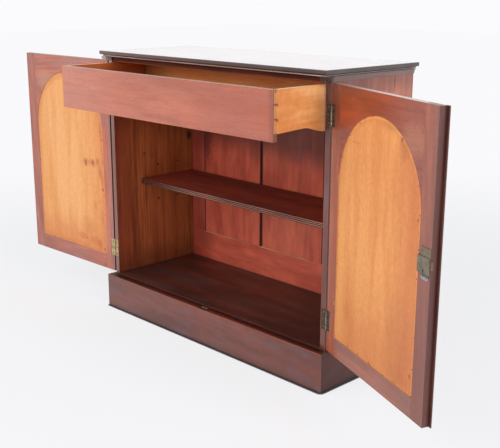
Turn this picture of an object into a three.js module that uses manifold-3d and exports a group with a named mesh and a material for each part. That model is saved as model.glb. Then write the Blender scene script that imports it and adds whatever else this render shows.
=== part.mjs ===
// A mahogany chiffonier: a low cupboard with a pair of arched panel doors, one long drawer behind them,
// a reeded shelf on pegs and a plinth. Millimetres, +Z up, the front towards -Y,
// the origin on the floor at the middle of the plinth.
import * as THREE from 'three';
import { mergeVertices } from 'three/addons/utils/BufferGeometryUtils.js';
import Module from 'manifold-3d';

const wasm = await Module();
wasm.setup();

// Case
const overallHeight = 970;
const caseWidth = 1060;
const caseDepth = 386;
const sideThickness = 19;
const sideFootClearance = 3; // the sides stop just above the floor, the plinth carries them
const bottomThickness = 19;
const bottomHeight = 131; // floor to the upper face of the bottom board
const bottomSetback = 1;
const housingDepth = 6; // groove in each side that the bottom board stands in
const housingStop = 14; // the groove stops short of the front edge
const hairline = 0.25; // glued and seated faces
const jointClearance = 0.3; // working fits
const overrun = 2; // how far a cutting tool passes the face it leaves by

// Top, its moulded edge and the cove below it
const topThickness = 13;
const topStepThickness = 6;
const topStepSetback = 9;
const topFrontOverhang = 33;
const topSideOverhang = 9.5;
const topRearOverhang = 14;
const topRounding = 2.4;
const topRoundingSteps = 3;
const coveHeight = 15;
const coveProjection = 8;
const coveFrontReach = 27; // the coves run past the case so that the doors close below them
const coveFillet = 2;
const coveSteps = 8;

// Rails that tie the sides together above the drawer
const railHeight = 20;
const railDepth = 60;
const railBead = 5;
const railBeadProjection = 3;
const kickerWidth = 22;

// Plinth
const plinthHeight = 126;
const plinthFrontProjection = 30;
const plinthSideProjection = 14;
const plinthFrontThickness = 26;
const plinthBackThickness = 20;
const bearerHeight = 44;
const bearerDepth = 26;
const centreBearerWidth = 24;

// Framed back with three flat panels
const backThickness = 12;
const backRebate = 8; // how far the frame runs into each side
const backStile = 75;
const backMuntin = 60;
const backBottomRail = 112; // above the bottom board
const backTopRail = 90; // below the top
const backPanelCount = 3;
const backPanelThickness = 6;
const backPanelLap = 6;
const backPanelSetback = 4;
const backChamfer = 3;
const backTongueWidth = 10; // bare edge of the middle panel, which has shrunk away from its muntin
const backTongueDepth = 3.5;

// Shelf and its pegs
const shelfThickness = 18;
const shelfSetback = 117;
const shelfEndClearance = 1;
const reedCount = 3;
const reedSteps = 6;
const pegHoleCount = 3;
const pegHolePitch = 68;
const pegMiddleHeight = 461;
const pegColumns = [200, 298]; // from the front edge of the side
const pegRadius = 4;
const pegDepth = 10;
const pegReach = 13;
const pegNoseRadius = 2;
const pegNoseSteps = 3;
const pegFaces = 12;

// Drawer
const drawerOut = 214; // how far the drawer is pulled out
const drawerSetback = 2; // the closed front, behind the front edges of the sides
const drawerSideGap = 3;
const drawerTopGap = 3;
const drawerHeight = 142;
const drawerLength = 362;
const drawerFrontThickness = 18;
const drawerSideThickness = 11;
const drawerBackThickness = 10;
const drawerBottomThickness = 6;
const drawerBottomGroove = 5;
const drawerBottomHeight = 32; // lower edge of the front to the underside of the drawer bottom
const drawerBackDrop = 5;
const runningEdge = 9; // lower edge of the front to the edge that the sides run on
const reliefFrontHeight = 21; // the worn lower edge of each side, at the front
const reliefPeakHeight = 26;
const reliefPeak = 124; // from the face of the front
const reliefEnd = 216;
const reliefSteps = 12;
const tailLength = 13; // the tails stop short of the face, as lapped dovetails do
const tailCount = 3;
const pinNarrow = 3;
const tailSlope = 1 / 7;
const runnerHeight = 18;
const runnerWidth = 14;
const runnerSetback = 24;

// Doors
const doorGap = 0.5; // inner face of a closed door to the front edges of the sides
const doorThickness = 20;
const doorBottomLift = 2.5; // foot of the closed doors above the bottom board
const doorTopLap = 3; // how far the closed doors cover the front rail
const meetingGap = 1;
const hingeStile = 48;
const lockStile = 54;
const doorBottomRail = 57.5;
const doorTopRail = 60; // at the crown of the arch
const rebateDepth = 9;
const rebateWidth = 9;
const doorPanelThickness = 8;
const panelBevelWidth = 9;
const panelBevelDepth = 2;
const archSteps = 28;
const hornWidth = 1; // where the arched rail runs out against a stile
const mouldingWidth = 11;
const mouldingHeight = 9.5;
const mouldingFillet = 1.6;
const mouldingSteps = 5;
const astragalWidth = 18;
const astragalOverlap = 9;
const astragalThickness = 6.5;
const astragalSteps = 8;
const leftOpenAngle = 178;
const rightOpenAngle = 157.5;

// Butt hinges
const hingeLength = 65;
const lowerHingeInset = 95.5; // door end to the middle of the hinge
const upperHingeInset = 91;
const leafWidth = 16;
const leafThickness = 1.8;
const leafRecess = 2;
const pinOffset = 4; // hinge pin outside the face of the side
const knuckleRadius = 3.7;
const knuckleCount = 5;
const hingePinRadius = 1.8;
const roundFaces = 16;

// Cupboard lock on the right door
const lockWidth = 53;
const lockCaseHeight = 43;
const lockMiddleHeight = 550;
const lockProud = 4;
const lockLetIn = 8;
const lockPlateThickness = 1.6;
const lockUpperTab = 23;
const lockUpperTabWidth = 41;
const lockLowerTab = 15;
const lockLowerTabWidth = 35;
const lockLowerTabSetback = 4;
const lockTabRadius = 8;
const lockTabSteps = 5;
const lockBoltHeight = 20;
const lockBoltThickness = 5;
const lockBoltLength = 30;
const lockBoltRise = 3; // above the middle of the case
const keyholeRadius = 2.6;
const keyholeSlot = 2.4;
const keyholeDrop = 13; // below the middle of the case
const keyholeLength = 7;

// Flush bolts in the leading edge of the left door
const boltRadius = 3;
const boltCentre = 9; // from the inner face of the door
const boltFromEdge = 6;
const boltLength = 104;
const boltPlateWidth = 13;
const boltPlateLength = 124;
const boltPlateThickness = 1.8;
const boltEndClearance = 1;
const thumbSize = 5;
const thumbFromEnd = 62;
const lowerBoltTravel = 14;
const upperBoltTravel = 23;
const keepLength = 30;
const keepWidth = 13;
const keepThickness = 1.6;
const keepHoleDepth = 12;

// Places that follow from the sizes above
const frontY = -(caseDepth - plinthFrontProjection) / 2;
const rearY = frontY + caseDepth;
const caseTop = overallHeight - topThickness - topStepThickness;
const outerX = caseWidth / 2;
const innerX = outerX - sideThickness;
const backY = rearY - backThickness;
const railBottom = caseTop - railHeight;
const bottomUnderside = bottomHeight - bottomThickness;
const hingeX = outerX + pinOffset;
const hingeY = frontY - doorGap / 2;
const doorWidth = outerX - meetingGap / 2;
const doorBottomHeight = bottomHeight + doorBottomLift;
const doorTopHeight = railBottom + doorTopLap;
const hingeHeights = [doorBottomHeight + lowerHingeInset, doorTopHeight - upperHingeInset];

const finishes = {
  mahogany: finish(0x8a4232, 0.42),
  mahoganyInside: finish(0x4a1d14, 0.5),
  stainedPine: finish(0x6b2f1a, 0.6),
  redPine: finish(0x9a4a38, 0.62),
  pine: finish(0xd9985c, 0.6),
  beech: finish(0x7a4a2a, 0.6),
  brass: finish(0x9c9078, 0.4, 0.9),
};

function finish(color, roughness, metalness = 0) {
  return new THREE.MeshStandardMaterial({ color, roughness, metalness, flatShading: true });
}

function between(a, b) {
  return [Math.min(a, b), Math.max(a, b)];
}

// A block from three ranges
function block(xRange, yRange, zRange) {
  const ranges = [xRange, yRange, zRange].map(([a, b]) => between(a, b));
  const size = ranges.map(([low, high]) => high - low);
  const centre = ranges.map(([low, high]) => (low + high) / 2);
  const place = new THREE.Matrix4().makeTranslation(...centre).scale(new THREE.Vector3(...size));
  return new THREE.BoxGeometry(1, 1, 1).applyMatrix4(place);
}

// Extrudes an outline along an axis: x takes (y, z) points, y takes (x, z) points and z takes (x, y) points
function prism(axis, outline, range, bevel = {}) {
  const [low, high] = between(...range);
  const shape = new THREE.Shape(outline.map(([a, b]) => new THREE.Vector2(a, b)));
  const geometry = new THREE.ExtrudeGeometry(shape, { depth: high - low, bevelEnabled: false, ...bevel });
  const [x, y, z] = [new THREE.Vector3(1, 0, 0), new THREE.Vector3(0, 1, 0), new THREE.Vector3(0, 0, 1)];
  const place = new THREE.Matrix4();
  if (axis === 'x') place.makeBasis(y, z, x).setPosition(low, 0, 0);
  if (axis === 'y') place.makeBasis(x, z, y.clone().negate()).setPosition(0, high, 0);
  if (axis === 'z') place.setPosition(0, 0, low);
  return geometry.applyMatrix4(place);
}

// A round bar along an axis, through the point given in the other two coordinates
function bar(axis, radius, centre, range, faces = roundFaces) {
  const outline = Array.from({ length: faces }, (_, i) => {
    const turn = (2 * Math.PI * (i + 0.5)) / faces;
    return [centre[0] + radius * Math.cos(turn), centre[1] + radius * Math.sin(turn)];
  });
  return prism(axis, outline, range);
}

// Points of a round stretch, both ends included
function arc(centre, radius, fromAngle, toAngle, steps) {
  return Array.from({ length: steps + 1 }, (_, i) => {
    const turn = fromAngle + ((toAngle - fromAngle) * i) / steps;
    return [centre[0] + radius * Math.cos(turn), centre[1] + radius * Math.sin(turn)];
  });
}

function toSolid(geometry) {
  const bare = geometry.clone();
  bare.deleteAttribute('normal');
  bare.deleteAttribute('uv');
  const merged = mergeVertices(bare);
  const vertProperties = Float32Array.from(merged.attributes.position.array);
  const triVerts = Uint32Array.from(merged.index.array);
  return new wasm.Manifold(new wasm.Mesh({ numProp: 3, vertProperties, triVerts }));
}

function toGeometry(solid) {
  const mesh = solid.getMesh();
  const geometry = new THREE.BufferGeometry();
  geometry.setAttribute('position', new THREE.BufferAttribute(Float32Array.from(mesh.vertProperties), 3));
  geometry.setIndex(Array.from(mesh.triVerts));
  return geometry;
}

function join(...geometries) {
  return toGeometry(geometries.map(toSolid).reduce((whole, piece) => whole.add(piece)));
}

function cut(geometry, ...tools) {
  return toGeometry(tools.map(toSolid).reduce((whole, tool) => whole.subtract(tool), toSolid(geometry)));
}

function addPart(group, name, geometry, material) {
  const mesh = new THREE.Mesh(geometry, material);
  mesh.name = name;
  group.add(mesh);
}

// Height of the centre of each row of peg holes
function pegRow(row) {
  return pegMiddleHeight + (row - (pegHoleCount - 1) / 2) * pegHolePitch;
}

// One side of the case: rebated for the back, grooved for the bottom, bored for pegs and cut for hinge leaves
function caseSide(side) {
  const rebateX = innerX + backRebate;
  const outline = [
    [innerX, frontY],
    [outerX, frontY],
    [outerX, rearY],
    [rebateX, rearY],
    [rebateX, backY - hairline],
    [innerX, backY - hairline],
  ].map(([x, y]) => [side * x, y]);
  const board = prism('z', outline, [sideFootClearance, caseTop - hairline]);
  const housing = block(
    [side * (innerX - overrun), side * (innerX + housingDepth)],
    [frontY + housingStop, rearY + overrun],
    [bottomUnderside - hairline, bottomHeight + hairline],
  );
  const holes = [];
  for (let row = 0; row < pegHoleCount; row++) {
    for (const column of pegColumns) {
      const depth = [side * (innerX - overrun), side * (innerX + pegDepth)];
      holes.push(bar('x', pegRadius + hairline, [frontY + column, pegRow(row)], depth, pegFaces));
    }
  }
  const recesses = hingeHeights.map((height) => leafPocket(side, height));
  return cut(board, housing, ...holes, ...recesses);
}

// Pocket for the hinge leaf in the front edge of a side
function leafPocket(side, height) {
  const reach = leafWidth + hairline;
  const half = hingeLength / 2 + hairline;
  return block(
    [side * (outerX - reach), side * (outerX + overrun)],
    [frontY - overrun, frontY + leafRecess + hairline],
    [height - half, height + half],
  );
}

function bottomBoard() {
  const endX = innerX + housingDepth - hairline;
  const shoulderX = innerX - hairline;
  const shoulderY = frontY + housingStop + hairline;
  const rear = backY - hairline;
  const front = frontY + bottomSetback;
  const outline = [
    [-shoulderX, front],
    [shoulderX, front],
    [shoulderX, shoulderY],
    [endX, shoulderY],
    [endX, rear],
    [-endX, rear],
    [-endX, shoulderY],
    [-shoulderX, shoulderY],
  ];
  return prism('z', outline, [bottomUnderside, bottomHeight]);
}

// The top: a rounded slab on a thinner step, bored below for the upper bolt of the left door
function topBoard() {
  const x = outerX + topSideOverhang;
  const front = frontY - topFrontOverhang;
  const rear = rearY + topRearOverhang;
  const stepTop = caseTop + topStepThickness;
  const slab = prism(
    'z',
    [[-x, front], [x, front], [x, rear], [-x, rear]],
    [stepTop + topRounding, overallHeight - topRounding],
    {
      bevelEnabled: true,
      bevelThickness: topRounding,
      bevelSize: topRounding,
      bevelOffset: -topRounding,
      bevelSegments: topRoundingSteps,
    },
  );
  const stepX = x - topStepSetback;
  const step = block(
    [-stepX, stepX],
    [front + topStepSetback, rear - topRounding],
    [caseTop, stepTop + topRounding],
  );
  const depth = [caseTop - overrun, caseTop + upperBoltTravel - (caseTop - doorTopHeight) + hairline];
  const hole = bar('z', boltRadius + jointClearance, boltPlace(), depth);
  return cut(join(slab, step), hole);
}

// Cove moulding along one side below the top, with the block that returns it in front of the case
function topCove(side) {
  const low = caseTop - coveHeight;
  const high = caseTop - hairline;
  const inner = outerX + hairline;
  const outer = outerX + coveProjection;
  const width = outer - inner - coveFillet;
  const height = high - low - coveFillet;
  const hollow = Array.from({ length: coveSteps + 1 }, (_, i) => {
    const turn = (Math.PI / 2) * (i / coveSteps);
    return [outer - width * Math.sin(turn), high - coveFillet - height * (1 - Math.cos(turn))];
  });
  const outline = [[inner, high], [outer, high], ...hollow, [inner + coveFillet, low], [inner, low]];
  const front = frontY - coveFrontReach;
  const strip = prism('y', outline.map(([x, z]) => [side * x, z]), [front, rearY]);
  const returnBlock = block(
    [side * innerX, side * (inner + coveFillet)],
    [front, frontY - hairline],
    [low, high],
  );
  return join(strip, returnBlock);
}

// Rail above the drawer, with a bead along its upper edge
function frontRail() {
  const x = innerX - hairline;
  const top = caseTop - hairline;
  const outline = [
    [frontY, top],
    [frontY, top - railBead],
    [frontY + railBeadProjection, top - railBead],
    [frontY + railBeadProjection, railBottom],
    [frontY + railDepth, railBottom],
    [frontY + railDepth, top],
  ];
  return prism('x', outline, [-x, x]);
}

// The back: one glued frame of stiles, muntins and rails, chamfered round each opening and rebated behind it
function backOpenings() {
  const inside = 2 * (innerX - backStile) - (backPanelCount - 1) * backMuntin;
  const width = inside / backPanelCount;
  return Array.from({ length: backPanelCount }, (_, i) => {
    const low = -innerX + backStile + i * (width + backMuntin);
    return { x: [low, low + width], z: [bottomHeight + backBottomRail, caseTop - backTopRail] };
  });
}

function grown(range, amount) {
  return [range[0] - amount, range[1] + amount];
}

function backFrame() {
  const x = innerX + backRebate - hairline;
  const board = block([-x, x], [backY, rearY], [bottomUnderside, caseTop - hairline]);
  const tools = backOpenings().flatMap((opening) => {
    const through = block(opening.x, [backY - overrun, rearY + overrun], opening.z);
    const rebateX = grown(opening.x, backPanelLap + hairline);
    const rebateZ = grown(opening.z, backPanelLap + hairline);
    const rebate = block(rebateX, [backY + backPanelSetback - hairline, rearY + overrun], rebateZ);
    const outline = [
      [opening.x[0], opening.z[0]],
      [opening.x[1], opening.z[0]],
      [opening.x[1], opening.z[1]],
      [opening.x[0], opening.z[1]],
    ];
    const chamfer = prism('y', outline, [backY - backChamfer - overrun, backY - overrun], {
      bevelEnabled: true,
      bevelThickness: backChamfer + overrun,
      bevelSize: backChamfer + overrun,
      bevelSegments: 1,
    });
    return [through, rebate, chamfer];
  });
  return cut(board, ...tools);
}

function backPanel(opening, shrunk) {
  const front = backY + backPanelSetback;
  const panel = block(
    grown(opening.x, backPanelLap),
    [front, front + backPanelThickness],
    grown(opening.z, backPanelLap),
  );
  if (!shrunk) {
    return panel;
  }
  const [left] = opening.x;
  const bare = [front - overrun, front + backTongueDepth];
  return cut(panel, block([left, left + backTongueWidth], bare, opening.z));
}

// The loose shelf, with reeds worked along its front edge
function shelf() {
  const low = pegMiddleHeight + pegRadius + jointClearance;
  const reed = shelfThickness / reedCount / 2;
  const front = frontY + shelfSetback + reed;
  const reeds = [];
  for (let i = 0; i < reedCount; i++) {
    const centre = [front, low + (2 * i + 1) * reed];
    const points = arc(centre, reed, -Math.PI / 2, -1.5 * Math.PI, reedSteps);
    reeds.push(...points.slice(i === 0 ? 0 : 1));
  }
  const rear = backY - shelfEndClearance;
  const x = innerX - shelfEndClearance;
  return prism('x', [...reeds, [rear, low + shelfThickness], [rear, low]], [-x, x]);
}

// A turned peg, its inner end rounded
function shelfPeg(side) {
  const noseCentre = [pegRadius - pegNoseRadius, pegReach - pegNoseRadius];
  const nose = arc(noseCentre, pegNoseRadius, 0, Math.PI / 2, pegNoseSteps);
  const tail = -(pegDepth - pegNoseRadius);
  const profile = [[0, tail], [pegRadius - hairline, tail], ...nose, [0, pegReach]];
  const points = profile.map(([radius, along]) => new THREE.Vector2(radius, along));
  return new THREE.LatheGeometry(points, pegFaces).rotateZ((side * Math.PI) / 2);
}

// Plinth
function plinthFront() {
  const x = outerX + plinthSideProjection;
  const front = frontY - plinthFrontProjection;
  const back = front + plinthFrontThickness;
  const mitre = outerX;
  const outline = [[-x, front], [x, front], [mitre, back], [-mitre, back]];
  const [boltX, boltY] = boltPlace();
  const hole = bar(
    'z',
    boltRadius + jointClearance,
    [boltX, boltY],
    [plinthHeight - keepHoleDepth, plinthHeight + overrun],
  );
  const recess = block(
    [boltX - keepLength / 2 - hairline, boltX + keepLength / 2 + hairline],
    [boltY - keepWidth / 2 - hairline, back + overrun],
    [plinthHeight - keepThickness - hairline, plinthHeight + overrun],
  );
  return cut(prism('z', outline, [0, plinthHeight]), hole, recess);
}

function plinthSide(side) {
  const x = outerX + plinthSideProjection;
  const front = frontY - plinthFrontProjection;
  const back = front + plinthFrontThickness;
  const gap = jointClearance;
  const outline = [
    [x, front + gap * 2],
    [x, rearY],
    [outerX + hairline, rearY],
    [outerX + hairline, back + gap],
  ];
  return prism('z', outline.map(([a, b]) => [side * a, b]), [0, plinthHeight]);
}

// Where the flush bolts of the closed left door stand
function boltPlace() {
  return [-meetingGap / 2 - boltFromEdge, hingeY - doorGap / 2 - boltCentre];
}

function boltKeep() {
  const [x, y] = boltPlace();
  const back = frontY - plinthFrontProjection + plinthFrontThickness - hairline;
  const plate = block(
    [x - keepLength / 2, x + keepLength / 2],
    [y - keepWidth / 2, Math.min(y + keepWidth / 2, back)],
    [plinthHeight - keepThickness, plinthHeight],
  );
  const through = grown([plinthHeight - keepThickness, plinthHeight], overrun);
  return cut(plate, bar('z', boltRadius + jointClearance, [x, y], through));
}

// Drawer, drawn closed in its own group
const drawerFrontY = frontY + drawerSetback;
const drawerTop = railBottom - drawerTopGap;
const drawerLow = drawerTop - drawerHeight;
const drawerX = innerX - drawerSideGap;
const drawerInnerX = drawerX - drawerSideThickness;
const drawerFloor = drawerLow + drawerBottomHeight;
const drawerBackY = drawerFrontY + drawerLength - drawerBackThickness;

// The tails of one corner as (y, z) outlines: base is the shoulder line and way points along the tails
function tails(base, way, length, low, high, ease, beyond = 0) {
  const spread = length * tailSlope;
  const reach = length + ease + beyond;
  const flare = reach * tailSlope;
  const pitch = (high - low) / tailCount;
  return Array.from({ length: tailCount }, (_, i) => {
    const bottom = low + i * pitch + pinNarrow / 2 + spread - ease;
    const top = low + (i + 1) * pitch - pinNarrow / 2 - spread + ease;
    const tip = base + way * reach;
    return [[base, bottom], [base, top], [tip, top + flare], [tip, bottom - flare]];
  });
}

function frontTails(ease) {
  const low = drawerLow + reliefFrontHeight;
  return tails(drawerFrontY + drawerFrontThickness, -1, tailLength, low, drawerTop, ease);
}

function backTails(ease, beyond) {
  const low = drawerFloor + drawerBottomThickness;
  return tails(drawerBackY, 1, drawerBackThickness, low, drawerTop - drawerBackDrop, ease, beyond);
}

// Outer and inner limits, in x, of a piece of one drawer side
function sideBand(side) {
  return [side * drawerX, side * drawerInnerX];
}

function drawerFront() {
  const inner = drawerFrontY + drawerFrontThickness;
  const board = block([-drawerX, drawerX], [drawerFrontY, inner], [drawerLow, drawerTop]);
  const sockets = [-1, 1].flatMap((side) => {
    const band = [side * (drawerX + overrun), side * (drawerInnerX - hairline)];
    return frontTails(hairline).map(([a, b, c, d]) => {
      const outline = [[inner + overrun, a[1]], [inner + overrun, b[1]], b, c, d, a];
      return prism('x', outline, band);
    });
  });
  const groove = block(
    [-drawerInnerX - drawerBottomGroove, drawerInnerX + drawerBottomGroove],
    [inner - drawerBottomGroove, inner + overrun],
    [drawerFloor - hairline, drawerFloor + drawerBottomThickness + hairline],
  );
  return cut(board, ...sockets, groove);
}

// Lower edge of a drawer side: worn away towards the front, then down to the running edge
function reliefHeight(distance) {
  if (distance <= reliefPeak) {
    const share = (distance - drawerFrontThickness) / (reliefPeak - drawerFrontThickness);
    return reliefFrontHeight + (reliefPeakHeight - reliefFrontHeight) * share;
  }
  const share = (distance - reliefPeak) / (reliefEnd - reliefPeak);
  const ease = (1 - Math.cos(Math.PI * share)) / 2;
  return reliefPeakHeight + (runningEdge - reliefPeakHeight) * ease;
}

function drawerSide(side) {
  const shoulder = drawerFrontY + drawerFrontThickness + hairline;
  const rearShoulder = drawerBackY - hairline;
  const start = [shoulder, drawerLow + reliefFrontHeight];
  const worn = Array.from({ length: reliefSteps + 1 }, (_, i) => {
    const distance = reliefPeak + ((reliefEnd - reliefPeak) * i) / reliefSteps;
    return [drawerFrontY + distance, drawerLow + reliefHeight(distance)];
  });
  const outline = [
    [shoulder, drawerTop],
    start,
    ...worn,
    [rearShoulder, drawerLow + runningEdge],
    [rearShoulder, drawerTop],
  ];
  const band = sideBand(side);
  const board = prism('x', outline, band);
  const tailPieces = [...frontTails(0), ...backTails(0)].map(([a, b, c, d]) => {
    const root = a[0] < c[0] ? -overrun : overrun;
    return prism('x', [[a[0] + root, a[1]], [b[0] + root, b[1]], b, c, d, a], band);
  });
  const groove = block(
    [side * (drawerInnerX + drawerBottomGroove), side * (drawerInnerX - overrun)],
    [shoulder - tailLength - overrun, rearShoulder + overrun],
    [drawerFloor - hairline, drawerFloor + drawerBottomThickness + hairline],
  );
  return cut(join(board, ...tailPieces), groove);
}

function drawerBack() {
  const board = block(
    [-drawerX, drawerX],
    [drawerBackY, drawerBackY + drawerBackThickness],
    [drawerFloor + drawerBottomThickness + hairline, drawerTop - drawerBackDrop],
  );
  const sockets = [-1, 1].flatMap((side) => {
    const band = [side * (drawerX + overrun), side * (drawerInnerX - hairline)];
    return backTails(hairline, overrun).map(([a, b, c, d]) =>
      prism('x', [[a[0] - overrun, a[1]], [b[0] - overrun, b[1]], b, c, d, a], band));
  });
  return cut(board, ...sockets);
}

function drawerBottom() {
  const x = drawerInnerX + drawerBottomGroove - hairline;
  const front = drawerFrontY + drawerFrontThickness - drawerBottomGroove + hairline;
  const rear = drawerBackY + drawerBackThickness;
  return block([-x, x], [front, rear], [drawerFloor, drawerFloor + drawerBottomThickness]);
}

// Doors, drawn closed about the hinge pin: u runs from the hinge edge, v from the inner face outwards
const panelLow = doorBottomHeight + doorBottomRail;
const panelWidth = doorWidth - hingeStile - lockStile;
const archRadius = panelWidth / 2;
const archCentre = [hingeStile + archRadius, doorTopHeight - doorTopRail - archRadius];

// The panel opening as (u, z) points, drawn in by inset all round
function archOutline(inset) {
  const radius = archRadius - inset;
  return [
    [hingeStile + inset, panelLow + inset],
    ...arc(archCentre, radius, Math.PI, 0, archSteps),
    [hingeStile + panelWidth - inset, panelLow + inset],
  ];
}

function doorFrame(side) {
  const x = (u) => -side * (u + pinOffset);
  const y = (v) => -(doorGap / 2 + v);
  const flat = (points) => points.map(([u, z]) => [x(u), z]);
  const plan = (points) => points.map(([u, v]) => [x(u), y(v)]);
  return { x, y, flat, plan };
}

// A stile, rebated along the panel: from is its outer edge and way points towards the panel
function doorStile(frame, from, way, width) {
  const edge = from + way * width;
  const lip = edge + way * rebateWidth;
  const outline = [
    [from, 0],
    [edge, 0],
    [edge, rebateDepth],
    [lip, rebateDepth],
    [lip, doorThickness],
    [from, doorThickness],
  ];
  return prism('z', frame.plan(outline), [doorBottomHeight, doorTopHeight]);
}

// What a rail loses at its ends to the lips of the stiles
function railShoulders(frame, zRange) {
  const reach = rebateWidth + jointClearance;
  const depth = [frame.y(rebateDepth - jointClearance), frame.y(doorThickness + overrun)];
  const low = hingeStile;
  const high = hingeStile + panelWidth;
  return [[low - overrun, low + reach], [high - reach, high + overrun]].map(([a, b]) =>
    block([frame.x(a), frame.x(b)], depth, grown(zRange, overrun)));
}

function doorTopRailPiece(frame) {
  const hornDrop = Math.sqrt(2 * archRadius * hornWidth - hornWidth ** 2);
  const zRange = [archCentre[1] + hornDrop, doorTopHeight];
  const u = grown([hingeStile, hingeStile + panelWidth], -jointClearance);
  const rail = block(u.map(frame.x), [frame.y(0), frame.y(doorThickness)], zRange);
  const through = [frame.y(-overrun), frame.y(doorThickness + overrun)];
  const sight = prism('y', frame.flat(archOutline(rebateWidth)), through);
  const rebate = prism('y', frame.flat(archOutline(0)), [frame.y(-overrun), frame.y(rebateDepth)]);
  return cut(rail, sight, rebate, ...railShoulders(frame, zRange));
}

function doorBottomRailPiece(frame) {
  const zRange = [doorBottomHeight, panelLow + rebateWidth];
  const u = grown([hingeStile, hingeStile + panelWidth], -jointClearance);
  const rail = block(u.map(frame.x), [frame.y(0), frame.y(doorThickness)], zRange);
  const rebate = block(
    grown(u, overrun).map(frame.x),
    [frame.y(-overrun), frame.y(rebateDepth)],
    [panelLow, panelLow + rebateWidth + overrun],
  );
  return cut(rail, rebate, ...railShoulders(frame, zRange));
}

// The panel lies in the rebate, its edges bevelled
function doorPanel(frame) {
  const face = rebateDepth - jointClearance;
  const range = [frame.y(face - panelBevelDepth), frame.y(face - doorPanelThickness + panelBevelDepth)];
  return prism('y', frame.flat(archOutline(jointClearance)), range, {
    bevelEnabled: true,
    bevelThickness: panelBevelDepth,
    bevelSize: panelBevelWidth,
    bevelOffset: -panelBevelWidth,
    bevelSegments: 1,
  });
}

// Moulding mitred round the outside of the panel: one profile carried round the arch
function doorMoulding(frame) {
  const edge = rebateWidth + jointClearance;
  const base = rebateDepth + hairline;
  const curve = Array.from({ length: mouldingSteps + 1 }, (_, i) => {
    const share = i / mouldingSteps;
    const rise = (1 + Math.cos(Math.PI * share)) / 2;
    const run = mouldingFillet + (mouldingWidth - 2 * mouldingFillet) * share;
    return [edge + run, base + mouldingFillet + (mouldingHeight - mouldingFillet) * rise];
  });
  const profile = [
    [edge, base],
    [edge, base + mouldingHeight],
    ...curve,
    [edge + mouldingWidth, base + mouldingFillet],
    [edge + mouldingWidth, base],
  ];
  const ring = ([inset, v]) => frame.flat(archOutline(inset)).map(([x, z]) => [x, frame.y(v), z]);
  return carriedProfile(profile.map(ring));
}

// Closes a grid of rings into one skin, its faces outwards
function carriedProfile(rings) {
  const across = rings.length;
  const around = rings[0].length;
  const triangles = [];
  for (let i = 0; i < across; i++) {
    for (let j = 0; j < around; j++) {
      const next = (i + 1) % across;
      const far = (j + 1) % around;
      const [a, b, c, d] = [i * around + j, next * around + j, next * around + far, i * around + far];
      triangles.push([a, b, c], [a, c, d]);
    }
  }
  const points = rings.flat();
  const volume = triangles.reduce((sum, corners) => {
    const [p, q, r] = corners.map((corner) => new THREE.Vector3(...points[corner]));
    return sum + p.dot(q.cross(r));
  }, 0);
  const index = volume < 0 ? triangles.map(([a, b, c]) => [a, c, b]) : triangles;
  const geometry = new THREE.BufferGeometry();
  geometry.setAttribute('position', new THREE.Float32BufferAttribute(points.flat(), 3));
  geometry.setIndex(index.flat());
  return geometry;
}

// The bead on the face of the right door that covers the meeting of the doors
function astragal(frame) {
  const low = doorWidth + astragalOverlap - astragalWidth;
  const high = doorWidth + astragalOverlap;
  const base = doorThickness + hairline;
  const half = astragalWidth / 2;
  const rise = astragalThickness - mouldingFillet;
  const nose = Array.from({ length: astragalSteps + 1 }, (_, i) => {
    const turn = (Math.PI * i) / astragalSteps;
    return [low + half + half * Math.cos(turn), base + mouldingFillet + rise * Math.sin(turn)];
  });
  const outline = [[low, base], [high, base], ...nose];
  return prism('z', frame.plan(outline), [doorBottomHeight, doorTopHeight]);
}

// Hinge leaf about the pin: face is 1 for the leaf on the case and -1 for the leaf on the door
function hingeLeaf(side, face, height) {
  const near = face * (doorGap / 2 + (leafRecess - leafThickness));
  const far = near + face * leafThickness;
  const pitch = hingeLength / knuckleCount;
  const foot = height - hingeLength / 2;
  const plate = block(
    [-side * (pinOffset + jointClearance), -side * (pinOffset + leafWidth)],
    [near, far],
    [foot, foot + hingeLength],
  );
  const pieces = [plate];
  for (let i = face > 0 ? 0 : 1; i < knuckleCount; i += 2) {
    const range = grown([foot + i * pitch, foot + (i + 1) * pitch], -jointClearance / 2);
    pieces.push(bar('z', knuckleRadius, [0, 0], range));
    pieces.push(block([0, -side * (pinOffset + 2 * jointClearance)], [near, far], range));
  }
  if (face > 0) {
    const pin = bar('z', hingePinRadius, [0, 0], [foot + pitch / 2, foot + hingeLength - pitch / 2]);
    return join(...pieces, pin);
  }
  const bore = bar('z', hingePinRadius + jointClearance, [0, 0], grown([foot, foot + hingeLength], overrun));
  return cut(join(...pieces), bore);
}

// Pocket for the hinge leaf in the inner face of a stile
function doorLeafPocket(frame, height) {
  const half = hingeLength / 2 + hairline;
  return block(
    [frame.x(-overrun), frame.x(leafWidth + hairline)],
    [frame.y(-overrun), frame.y(leafRecess + hairline)],
    [height - half, height + half],
  );
}

// Cupboard lock: a box let into the stile, with plates above and below it
const lockEdge = doorWidth - jointClearance;
const lockLow = lockMiddleHeight - lockCaseHeight / 2;
const lockHigh = lockMiddleHeight + lockCaseHeight / 2;

function lockBoltRange(ease) {
  const middle = lockMiddleHeight + lockBoltRise;
  const half = lockBoltHeight / 2 + ease;
  const depth = (lockLetIn - lockBoltThickness) / 2;
  return {
    v: grown([depth, depth + lockBoltThickness], ease),
    z: [middle - half, middle + half],
  };
}

function keyholeTool(frame, vRange) {
  const u = lockEdge - lockWidth / 2;
  const z = lockMiddleHeight - keyholeDrop;
  const range = vRange.map(frame.y);
  const slot = block(
    [frame.x(u - keyholeSlot / 2), frame.x(u + keyholeSlot / 2)],
    range,
    [z - keyholeLength, z],
  );
  return join(bar('y', keyholeRadius, [frame.x(u), z], range), slot);
}

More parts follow.
